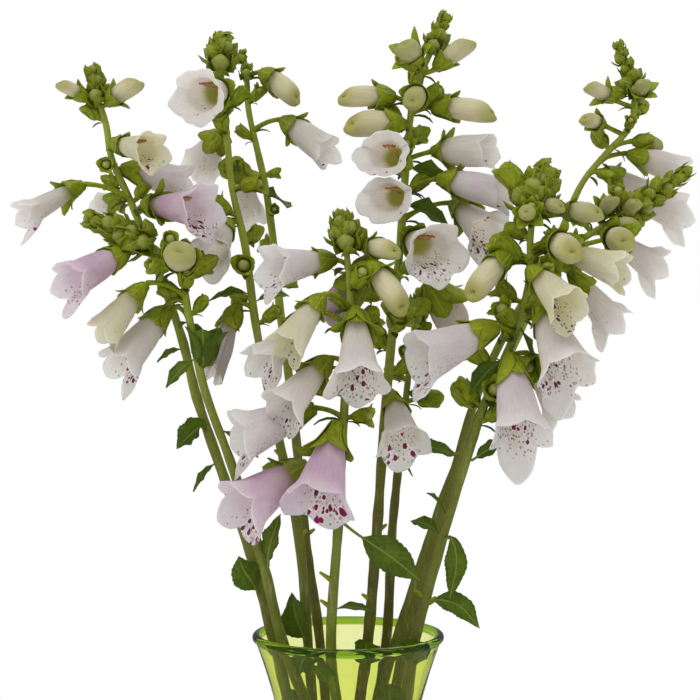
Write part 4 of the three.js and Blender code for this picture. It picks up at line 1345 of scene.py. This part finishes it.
class BudSpiral(Grower):
    """Grows young buds in a spiral up the end of a stem, smaller towards its tip."""

    def __init__(self, bud: bpy.types.Object, finish: bpy.types.Material) -> None:
        """Build the tree for a bud that points along +Z from the origin."""
        self.bud = bud
        super().__init__("bud_spiral", finish, Bud="Object", Count="Int", Turn="Float", Seed="Int",
                         Lean_Low="Float", Lean_High="Float", Size_Low="Float", Size_High="Float")
        graph, inlet = self.graph, self.inlet
        inputs = {"Curve": inlet["Geometry"], "Count": inlet["Count"]}
        points = graph.node("GeometryNodeCurveToPoints", inputs).outputs
        index = graph.out("GeometryNodeInputIndex")
        share = graph.math("DIVIDE", index, graph.minus(inlet["Count"], 1.0))
        lean, size = (
            graph.out("ShaderNodeMapRange", {0: share, 3: inlet[kind + " Low"], 4: inlet[kind + " High"]})
            for kind in ("Lean", "Size")
        )
        turn = graph.out("FunctionNodeAlignRotationToVector", {"Vector": points["Tangent"]}, axis="Z")
        jitter = self._chance(-0.22, 0.22)
        for angles in ({2: graph.times(index, inlet["Turn"])}, {0: graph.plus(lean, jitter), 1: jitter}):
            inputs = {"Rotation": turn, "Rotate By": graph.out("ShaderNodeCombineXYZ", angles)}
            turn = graph.out("FunctionNodeRotateRotation", inputs, rotation_space="LOCAL")
        scale = graph.times(size, self._chance(0.82, 1.15))
        self._end(self._copies(points[0], inlet["Bud"], turn, scale))

    def grow(self, name: str, line: np.ndarray, count: int, size: float, seed: int) -> bpy.types.Object:
        """Grow one tip.

        Args:
            name: The new piece's name.
            line: The points of the stretch of stem that carries the buds.
            count: How many buds there are.
            size: How large the lowest are.
            seed: The seed of their variation.

        Returns:
            The new piece.
        """
        start = route(name, line, np.ones(len(line)))
        return self._grown(name, start, Bud=self.bud, Count=count, Turn=GOLDEN_ANGLE, Seed=seed,
                           Lean_Low=1.0, Lean_High=0.15, Size_Low=size, Size_High=size * 0.6)


@dataclass
class GreenShapes:
    """The small green shapes that repeat: bracts and young buds, pointing along +Z."""

    wall: float = 0.0005
    sepal_wall: float = 0.0003

    def bract(self, name: str) -> bpy.types.Object:
        """Build a small narrow leaf that curls back, for the foot of each flower stalk."""
        draft = Draft()
        line = np.array(((0, 0, 0), (0, .0004, .003), (0, .0002, .0065), (0, -.001, .01), (0, -.0028, .0125)))
        add_blade(draft, line, np.array((1.0, 0, 0)), np.array((.0008, .0026, .0029, .0018, .0001)),
                  self.wall, fold=.25)
        return self._hidden(draft, name)

    def young_bud(self, name: str) -> bpy.types.Object:
        """Build a young bud: a small green ball in pointed sepals, on a short stalk over its bract."""
        draft = Draft()
        heights = np.array((0, .0012, .0032, .0054, .0068, .0074))
        radii = np.array((.0006, .0022, .0034, .0031, .0019, .0005))
        angles, along = turns(8), heights / heights[-1]
        bulge = 1 + .10 * np.cos(4 * angles)
        rings = [level_ring(radius * bulge, height, angles) for height, radius in zip(heights, radii)]
        draft.loft(np.array(rings), 0, along=along, across=.5, blade=.3, pale=ease(0.2, 0.8, along) * .5)
        for turn in (0.2, 1.8, 3.3, 4.9):
            way = np.array((math.cos(turn), math.sin(turn), 0.0))
            line = np.array([way * out + UP * up for out, up in
                             ((.0010, .0002), (.0036, .0024), (.0042, .0056), (.0044, .0082))])
            add_blade(draft, line, np.cross(UP, way), np.array((.0014, .0032, .0026, .0003)), self.sepal_wall,
                      fold=-.35, columns=3)
        return self._hidden(draft, name)

    @staticmethod
    def _hidden(draft: Draft, name: str) -> bpy.types.Object:
        """Build a shape that is only there to be copied."""
        shape = draft.build(name, ())
        shape.hide_render = True
        return shape


def add_blade(draft: Draft, line: np.ndarray, across: np.ndarray, widths: np.ndarray, wall: float,
              fold: float = 0.15, wave: float = 0.0, columns: int = 5, seed: int = 0,
              finish: int = 0) -> None:
    """Add a thin leaf blade along its midrib.

    Args:
        draft: The mesh to add to.
        line: The points of the midrib.
        across: The direction from one edge to the other, or one for each point.
        widths: Half the width at each point.
        wall: The blade's thickness.
        fold: How far the edges rise, as a share of half the width.
        wave: How far the edges wave up and down, as a share of half the width.
        columns: How many points lie across it.
        seed: Where the waves start.
        finish: Which of the piece's materials it takes.
    """
    count = len(line)
    across = np.broadcast_to(across, (count, 3))
    tangent = np.gradient(line, axis=0)
    facing = np.cross(tangent, across)
    facing /= np.linalg.norm(facing, axis=1, keepdims=True) + TINY
    shares = np.linspace(-1, 1, columns)
    along = np.linspace(0, 1, count)
    ripple = wave * np.sin(along[:, None] * 19 + seed + 1.3 * np.sign(shares)) * shares ** 2
    lift = widths[:, None] * (fold * np.abs(shares) ** 1.3 + ripple)
    top = line[:, None] + widths[:, None, None] * shares[None, :, None] * across[:, None]
    top = top + lift[..., None] * facing[:, None]
    thick = wall * (1 - 0.6 * np.abs(shares))
    under = top - thick[None, :, None] * facing[:, None]
    points = np.concatenate((top.reshape(-1, 3), under.reshape(-1, 3)))
    faces = [face[::-1] for face in sheet_faces(count, columns)]
    draft.add(points, faces, finish, across=np.tile(shares, 2 * count),
              along=np.tile(np.repeat(along, columns), 2), blade=1.0)


@dataclass
class Calyx:
    """Five broad pointed sepals that hug the foot of a corolla, on a small round base."""

    length: float = 0.0140
    half: float = 0.0068
    wall: float = 0.0005
    rows: tuple[tuple[float, float, float], ...] = (
        (-.2, .34, 0), (0, .62, 0), (.2, .92, .02), (.45, 1.05, .06), (.68, .96, .22), (.88, .62, .6),
        (1, .08, 1),
    )
    columns: int = 5

    def add_to(self, draft: Draft, base: np.ndarray, axes: Axes, radius: Callable[[float], float],
               size: float, spread: float, seed: int, blunt: float = 0.0) -> None:
        """Add a calyx to a mesh.

        Args:
            draft: The mesh.
            base: Where the corolla starts.
            axes: Which way it faces.
            radius: Gives the corolla's radius at a distance from its foot.
            size: How large the calyx is.
            spread: How far the sepals' tips stand out, from 0 to 1.
            seed: The seed of the sepals' differences.
            blunt: How rounded the sepals' tips are, from 0 to 1.
        """
        draw = random.Random(seed)
        foot = radius(0.0) + 0.0006
        line = np.array([base + axes.axis * along for along in (-.0034, -.0026, -.0012, .0005)])
        draft.tube(line, (.0011, foot * .62, foot * .98, foot), 10, across=.5)
        for index in range(5):
            turn = math.pi / 2 + index * 2 * math.pi / 5 + draw.uniform(-.12, .12)
            scale = size * draw.uniform(.88, 1.14)
            half = self.half * size * (0.6 if index == 0 else 1.0) * draw.uniform(.9, 1.1)
            out = spread * draw.uniform(.4, 1.5)
            rise = 0.00035 * (index % 2) + 0.0003
            outward = axes.side * math.cos(turn) + axes.top * math.sin(turn)
            beside = np.cross(axes.axis, outward)
            shares = np.linspace(-1, 1, self.columns)
            points = []
            for inset in (0.0, self.wall):
                for along, width, turned in self.rows:
                    height = along * self.length * scale
                    tube = radius(max(height, 0.0)) if along >= 0 else foot * .55
                    reach = tube + rise + self.wall - inset + turned * out * 0.009 * size
                    width = half * (width + blunt * (0.35 * turned if turned < 1 else .3))
                    bend = max(reach, 1.25 * half)
                    angles = shares * width / bend
                    out_by = np.outer(reach - bend * (1 - np.cos(angles)), outward)
                    aside = np.outer(bend * np.sin(angles), beside)
                    points.append(base + axes.axis * height + out_by + aside)
            rows = len(self.rows)
            along = np.tile(np.repeat(np.linspace(0, 1, rows), self.columns), 2)
            draft.add(np.vstack(points), sheet_faces(rows, self.columns), 0, along=along, blade=.7,
                      across=np.tile(shares, 2 * rows))


@dataclass
class StemLine:
    """The middle of a stem, from its cut foot on the vase's floor to its tip."""

    spike: Spike
    radius: float = 0.003
    tip_radius: float = 0.0015
    floor: float = 0.0103
    count: int = 110

    def __post_init__(self) -> None:
        """Work out the line and how long it is up to each point."""
        rim = np.array(self.spike.route[0])
        foot = np.array((*self.spike.foot, self.floor))
        run = rim - foot
        foot[2] += self.radius * math.hypot(run[0], run[1]) / np.linalg.norm(run)
        straight = [foot + (rim - foot) * share for share in (0.0, 0.33, 0.66)]
        self.line = smooth_line([*straight, *self.spike.route], self.count)
        self.rising = np.maximum.accumulate(self.line[:, 2])
        self.length = float(np.linalg.norm(np.diff(self.line, axis=0), axis=1).sum())
        self.radii = self.radius + (self.tip_radius - self.radius) * np.linspace(0, 1, self.count) ** 2

    def at_height(self, height: float) -> tuple[np.ndarray, np.ndarray, float]:
        """Give the middle, the direction and the radius of the stem at a height."""
        place = float(np.interp(height, self.rising, np.arange(self.count)))
        low = min(int(place), self.count - 2)
        share = place - low
        start, run = self.line[low], self.line[low + 1] - self.line[low]
        return start + run * share, unit(run), float(self.radii[low])

    def tip(self, length: float, reach: float) -> np.ndarray:
        """Give the last stretch of the line, drawn out past the stem's own end."""
        count = max(4, round(self.count * length / self.length))
        if not reach:
            return self.line[-count:]
        way = unit(self.line[-1] - self.line[-4])
        beyond = [self.line[-1] + way * reach * share for share in (0.25, 0.5, 0.75, 1.0)]
        return np.vstack((self.line[-count:], beyond))


@dataclass
class FlowerSpike:
    """A stem with its flowers: the stem, the stalks and calyces, bracts, closed bells, tip and bells."""

    spike: Spike
    palette: Palette
    seed: int
    stalk_radius: float = 0.0013
    back: float = 0.003
    rise: float = 0.35
    run_in: float = 0.4
    ease_in: float = 0.3
    end_radius: float = 0.0006
    bract_most: float = 1.1
    usual_bell: tuple[float, float] = (0.033, 0.044)
    usual_bud: tuple[float, float] = (0.019, 0.036)
    calyx_sizes: tuple[float, float] = (0.6, 1.25)

    def __post_init__(self) -> None:
        """Lay the stem's line."""
        self.stem = StemLine(self.spike)

    def build(self, sweep: StemGrower, spiral: BudSpiral, placer: CopyPlacer) -> None:
        """Build and dress every piece of the spike, with calyces that suit the flowers' widths and lengths.

        Args:
            sweep: Grows the ribbed stem.
            spiral: Grows the young buds at the tip.
            placer: Places the bracts.
        """
        spike, palette, name = self.spike, self.palette, self.spike.name
        main = sweep.sweep(name + "_ribs", self.stem.line, self.stem.radii, spike.brown)
        dress(main, "stem_green", name + "_stem")
        greens, closed, spots, bells = Draft(), Draft(), [], 0
        for index, floret in enumerate(spike.florets):
            seed = self.seed * 100 + index
            draw = random.Random(seed)
            base, axes = np.array(floret.calyx), Axes.facing(floret.bearing, floret.dip)
            if isinstance(floret, Bell):
                bells += 1
                corolla = Corolla(floret, seed)
                finishes = (palette.petals[floret.tint], palette.anther)
                piece = corolla.draft().build(f"{name}_bell_{bells}", finishes)
                dress(piece, floret.tint.value.name, f"{name}_corolla_{bells}")
                usual, blunt, spread = self.usual_bell, floret.blunt, draw.uniform(.1, .8)
            else:
                corolla = ClosedCorolla(floret, seed)
                corolla.add_to(closed)
                usual, blunt, spread = self.usual_bud, 0.2, draw.uniform(.2, .9)
            least, most = self.calyx_sizes
            size = min(max(floret.width / usual[0], floret.length / usual[1], least), most)
            Calyx().add_to(greens, base, axes.rolled(draw.uniform(-.3, .3)), corolla.radius, size,
                           spread, seed, blunt)
            spots.append(self._stalk(greens, base, axes, size))
        self._spent(greens, spots)
        for add, rows in (
            (self._stub, spike.stubs), (self._sprig, spike.sprigs), (self._shoot, spike.shoots),
        ):
            for row in rows:
                add(greens, *row)
        end = self.stem.tip(0.0, max(0.0, spike.tip_reach))
        greens.tube(end, np.linspace(self.stem.tip_radius, self.end_radius, len(end)), 8, across=.5)
        dress(greens.build(name + "_calyces", (palette.calyx, palette.leaf)), "stem_green")
        if closed.count:
            dress(closed.build(name + "_closed_bells", (palette.bud,)), "petal_cream")
        dress(placer.place(name + "_bracts", spots, 0.25, self.seed), "leaf_green")
        tip = self.stem.tip(spike.tip_length, spike.tip_reach)
        cluster = spiral.grow(name + "_tip_buds", tip, spike.tip_buds, spike.tip_size, self.seed)
        dress(cluster, "stem_green")

    def _stalk(self, draft: Draft, base: np.ndarray, axes: Axes, size: float) -> Spot:
        """Add the stalk of a flower, and say where its bract stands."""
        back = base - axes.axis * self.back
        distance = float(np.linalg.norm(self.stem.at_height(back[2])[0] - back))
        root, direction, _ = self.stem.at_height(back[2] - self.rise * distance)
        bend = (back - axes.axis * distance * self.run_in) * (1 - self.ease_in) + root * self.ease_in
        shares = np.linspace(0, 1, 9)[:, None]
        line = root * (1 - shares) ** 2 + bend * 2 * shares * (1 - shares) + back * shares ** 2
        radii = self.stalk_radius * np.interp(shares[:, 0], (0, .2, .8, 1), (1.7, 1.1, 1.0, 1.25))
        draft.tube(line, radii, 9, across=.5, along=shares[:, 0])
        out = square(back - root, direction)
        way = unit(out + direction * 0.35 - UP * 0.35)
        return root + out * 0.0015 - UP * 0.001, Axes.along(way), min(size, self.bract_most)

    def _spent(self, draft: Draft, spots: list[Spot]) -> None:
        """Add the empty calyces of fallen and unseen flowers, in a spiral up the stem."""
        draw = random.Random(self.seed)
        for low, high, count, size in self.spike.greens:
            for index in range(count):
                height = low + (high - low) * (index + 0.5) / count
                point, direction, radius = self.stem.at_height(height)
                across = Axes.along(direction, AWAY)
                angle = index * GOLDEN_ANGLE + draw.uniform(-.4, .4)
                out = across.side * math.cos(angle) + across.top * math.sin(angle)
                way = unit(out + UP * draw.uniform(-.1, 1.1))
                scale = size * draw.uniform(.75, 1.35)
                base = point + out * radius + way * 0.007 * scale + UP * 0.001
                half = 0.0030 * scale
                Calyx().add_to(draft, base, Axes.along(way), lambda _, half=half: half, scale * 0.8,
                               draw.uniform(.0, .7), self.seed * 1000 + index, 0.5)
                self._pod(draft, base, way, scale, half)
                spots.append(self._stalk(draft, base, Axes.along(way), scale * 0.8))

    @staticmethod
    def _pod(draft: Draft, base: np.ndarray, way: np.ndarray, scale: float, half: float) -> None:
        """Add the small closed flower inside a green calyx, paler towards its end."""
        pod = np.array([base + way * along * scale for along in (-.001, .001, .004, .008, .0105, .0115)])
        draft.tube(pod, half * np.array((.7, 1.0, 1.2, 1.1, .7, .1)), 9, across=.5,
                   pale=np.array((0, 0, .1, .5, .9, 1)))

    def _shoot(self, draft: Draft, place: Point, bearing: float, dip: float, size: float) -> None:
        """Add a side bud wrapped in dark sepals, on its own stalk."""
        base, axes = np.array(place), Axes.facing(bearing, dip)
        half = 0.0036 * size
        before = len(draft.finishes)
        Calyx().add_to(draft, base, axes, lambda height: half * (1 + 60 * height), size, .25, self.seed, 0.3)
        self._stalk(draft, base, axes, size)
        draft.finishes[before:] = [1] * (len(draft.finishes) - before)

    def _sprig(self, draft: Draft, height: float, bearing: float, dip: float, length: float,
               width: float) -> None:
        """Add a small leaf that grows out of the stem and bends down towards its tip."""
        point, _, radius = self.stem.at_height(height)
        axes = Axes.facing(bearing, dip)
        shares = np.linspace(0, 1, 11)
        line = point + axes.axis * radius * .6
        line = line + axes.axis * length * shares[:, None] - UP * (0.35 * length * shares ** 2)[:, None]
        lean = axes.rolled(math.radians(35 if self.seed % 2 else -35)).side
        widths = width / 2 * np.maximum(.08 * (1 - shares), np.sin(math.pi * np.clip(shares - .1, 0, 1) / .9))
        add_blade(draft, line, lean, np.maximum(widths, .0004), 0.0005, fold=.3, wave=.15, columns=5,
                  seed=self.seed, finish=1)

    def _stub(self, draft: Draft, height: float, bearing: float, reach: float) -> None:
        """Add the short stump of a leaf or side shoot that was cut away."""
        point, _, radius = self.stem.at_height(height)
        way = unit(Axes.facing(bearing, -35).axis)
        line = np.array([point + way * along for along in (0, radius, radius + reach * .6, radius + reach)])
        draft.tube(line, (.0016, .0014, .0010, .0007), 8, across=.5)


@dataclass
class LeafBlade:
    """A large leaf: a short stalk that widens into a thin toothed blade and ends in a point."""

    leaf: Leaf
    stem: StemLine
    rows: int = 49
    columns: int = 9
    stalk: float = 0.0007
    clearance: float = 0.0009
    wall: float = 0.0006
    teeth: int = 12

    def build(self, finish: bpy.types.Material, seed: int) -> bpy.types.Object:
        """Build the leaf.

        Args:
            finish: The leaf's material.
            seed: Where its waves start.

        Returns:
            The leaf's object.
        """
        leaf = self.leaf
        point, direction, radius = self.stem.at_height(leaf.height)
        out = square(np.array(leaf.rib[0]) - point, direction)
        seat = point + out * (radius + self.clearance)
        line = smooth_line((tuple(seat), *leaf.rib), self.rows)
        tangents = np.gradient(line, axis=0)
        middle = Axes.along(tangents[self.rows // 2]).rolled(math.radians(leaf.roll)).side
        across = np.array([square(middle, unit(tangent)) for tangent in tangents])
        shares = np.linspace(0, 1, self.rows)
        spread = np.clip((shares - leaf.bare) / (1 - leaf.bare), 0, 1)
        tooth = 1 + 0.09 * (2 * np.abs((spread * self.teeth) % 1 - 0.5) - 0.5)
        blade = leaf.width / 2 * np.sin(math.pi * spread ** 0.85) * tooth
        widths = np.maximum(self.stalk * (1 - shares ** 6), blade)
        draft = Draft()
        add_blade(draft, line, across, widths, self.wall, fold=0.22, wave=0.12, columns=self.columns,
                  seed=seed)
        rib = np.vstack((point + out * radius * 0.5, line[::6]))
        draft.tube(rib, np.linspace(0.0009, 0.0003, len(rib)), 6, across=0.0, blade=1.0)
        return draft.build(leaf.name + "_blade", (finish,))


@dataclass
class Vase:
    """A flared vase of thick coloured glass, with a rolled rim and a heavy bottom."""

    height: float = 0.150
    rim_radius: float = 0.050
    bead: float = 0.0023
    waist_radius: float = 0.031
    waist_height: float = 0.035
    foot_flare: float = 0.004
    flare_power: float = 2.15
    wall: float = 0.0026
    floor: float = 0.010
    round_foot: float = 0.0015
    round_floor: float = 0.004
    sides: int = 144

    def radius(self, height: float) -> float:
        """Give the outer radius at a height."""
        if height < self.waist_height:
            return self.waist_radius + self.foot_flare * (1 - height / self.waist_height) ** 2
        rise = (height - self.waist_height) / (self.height - self.bead - self.waist_height)
        widening = self.rim_radius + self.wall / 2 - self.waist_radius
        return self.waist_radius + widening * rise ** self.flare_power

    def profile(self) -> list[tuple[float, float]]:
        """List the radius and height along the glass, from the underside's middle to the inside floor."""
        top = self.height - 2 * self.bead
        foot = self.radius(0.0)
        line = [(foot * 0.5, 0.0006), (foot * 0.86, 0.0005), (foot * 0.9, 0.0001),
                (foot - self.round_foot, 0.0)]
        line += [(foot - self.round_foot * (1 - math.sin(turn)), self.round_foot * (1 - math.cos(turn)))
                 for turn in np.linspace(0.3, 1.4, 4)]
        line += [(self.radius(height), height) for height in np.linspace(self.round_foot * 1.4, top, 46)]
        middle = self.height - self.bead
        line += [(self.rim_radius + self.bead * math.cos(turn), middle + self.bead * math.sin(turn))
                 for turn in np.radians(np.linspace(-42, 222, 15))]
        low = self.floor + self.round_floor
        line += [(self.radius(height) - self.wall, height) for height in np.linspace(top, low, 40)]
        edge = self.radius(low) - self.wall - self.round_floor
        line += [(edge + self.round_floor * math.cos(turn), low - self.round_floor * math.sin(turn))
                 for turn in np.linspace(0.3, math.pi / 2, 5)]
        return line + [(edge * 0.5, self.floor)]

    def build(self, finish: bpy.types.Material) -> bpy.types.Object:
        """Turn the profile into a closed shell.

        Args:
            finish: The glass.

        Returns:
            The vase's object.
        """
        rings = [level_ring(radius, height, turns(self.sides)) for radius, height in self.profile()]
        draft = Draft()
        draft.loft(np.array(rings))
        return draft.build("vase_glass_body", (finish,))


@dataclass
class Studio:
    """A plain white floor and soft light, with the camera level with the middle of the flowers."""

    eye: Point = (0.001, -0.850, 0.304)
    lens: float = 80.0
    ambient: float = 0.62
    sensor: float = 36.0
    key: Point = (-0.45, -0.75, 1.75)
    key_power: float = 10.0
    back: Point = (0.5, 1.1, 1.5)
    back_share: float = 0.6
    aim: Point = (0, 0, .3)
    floor_radii: Point = (0.2, 0.5, 4.0)
    floor_sides: int = 96
    near: float = 0.30
    far: float = 0.48
    dimmed: float = 0.8

    def build(self) -> None:
        """Set the floor, the world, the lights and the camera."""
        self._floor()
        self._world()
        self._light("key", self.key, 1.3, self.key_power)
        self._light("back", self.back, 1.2, self.key_power * self.back_share)
        camera = bpy.data.objects.new("camera", bpy.data.cameras.new("camera"))
        camera.data.lens = self.lens
        camera.data.sensor_width = self.sensor
        camera.location = self.eye
        camera.rotation_euler = (math.pi / 2, 0, 0)
        show(camera)
        scene = bpy.context.scene
        scene.camera = camera
        scene.view_settings.view_transform = "Standard"

    def _light(self, name: str, place: Point, size: float, power: float) -> None:
        """Hang a soft square light that faces the flowers."""
        light = bpy.data.lights.new(name, "AREA")
        light.size, light.energy = size, power
        lamp = show(bpy.data.objects.new(name, light))
        lamp.location = place
        lamp.rotation_euler = Axes.along(np.array(place) - np.array(self.aim)).euler()

    def _floor(self) -> None:
        """Lay a pale floor that turns plain white away from the vase."""
        material, graph, surface = new_material("studio_floor")
        reach = graph.node("ShaderNodeVectorMath", {0: graph.place()}, operation="LENGTH").outputs["Value"]
        graph.feed(surface, {"Base Color": (0.9, 0.9, 0.9, 1), "Roughness": 0.9, "Specular IOR Level": 0.1})
        path = graph.node("ShaderNodeLightPath").outputs
        mirrored = graph.times(path["Is Glossy Ray"], graph.minus(1.0, path["Is Transmission Ray"]))
        strength = graph.minus(1.0, graph.times(mirrored, self.dimmed))
        light = graph.out("ShaderNodeEmission", {"Color": WHITE_LIGHT, "Strength": strength})
        shine = graph.math("MAXIMUM", mirrored, graph.ramp(reach, self.near, self.far))
        both = graph.out("ShaderNodeMixShader", {0: shine, 1: surface.outputs[0], 2: light})
        graph.feed(material.node_tree.nodes["Material Output"], {"Surface": both})
        sides, rings = self.floor_sides, len(self.floor_radii)
        points = np.vstack([level_ring(radius, 0.0, turns(sides)) for radius in self.floor_radii])
        faces = [face[::-1] for face in grid_faces(rings, sides)]
        faces += [(rings * sides, index, (index + 1) % sides) for index in range(sides)]
        draft = Draft()
        draft.add(np.vstack((points, np.zeros((1, 3)))), faces)
        draft.build("studio_floor", (material,))

    def _world(self) -> None:
        """Surround everything with white that lights the flowers evenly."""
        world = bpy.data.worlds.new("studio")
        bpy.context.scene.world = world
        world.use_nodes = True
        graph = Graph(world.node_tree)
        path = graph.node("ShaderNodeLightPath").outputs
        clear = graph.math("MAXIMUM", path["Is Camera Ray"], path["Is Transmission Ray"])
        mirrored = graph.times(path["Is Glossy Ray"], graph.minus(1.0, clear))
        strength = graph.plus(self.ambient, graph.times(clear, 1.0 - self.ambient))
        strength = graph.minus(strength, graph.times(mirrored, self.ambient * 0.7))
        graph.feed(world.node_tree.nodes["Background"], {"Color": WHITE_LIGHT, "Strength": strength})


def dress(piece: bpy.types.Object, slot: str, *nodes: str) -> None:
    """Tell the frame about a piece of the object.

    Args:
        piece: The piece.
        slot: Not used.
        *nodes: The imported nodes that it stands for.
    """
    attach(piece, "root")
    if nodes:
        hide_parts(*nodes)
    LOG.info("%s: %d faces", piece.name, len(piece.data.polygons))


def main() -> None:
    """Build the arrangement and its studio."""
    logging.basicConfig(level=logging.INFO, format="%(message)s")
    palette = Palette()
    Studio().build()
    dress(Vase().build(palette.glass), "vase_glass", "vase")
    shapes = GreenShapes()
    bract, young = shapes.bract("bract_shape"), shapes.young_bud("young_bud_shape")
    growers = StemGrower(palette.stem), BudSpiral(young, palette.young), CopyPlacer(bract, palette.leaf)
    stems = {}
    for seed, spike in enumerate(SPIKES, 1):
        flowers = FlowerSpike(spike, palette, seed)
        flowers.build(*growers)
        stems[spike.name] = flowers.stem
    for seed, leaf in enumerate(LEAVES):
        dress(LeafBlade(leaf, stems[leaf.spike]).build(palette.leaf, seed), "leaf_green", leaf.name)
    for shape in (bract, young):
        bpy.data.objects.remove(shape)
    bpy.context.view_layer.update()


if __name__ == "__main__":
    main()
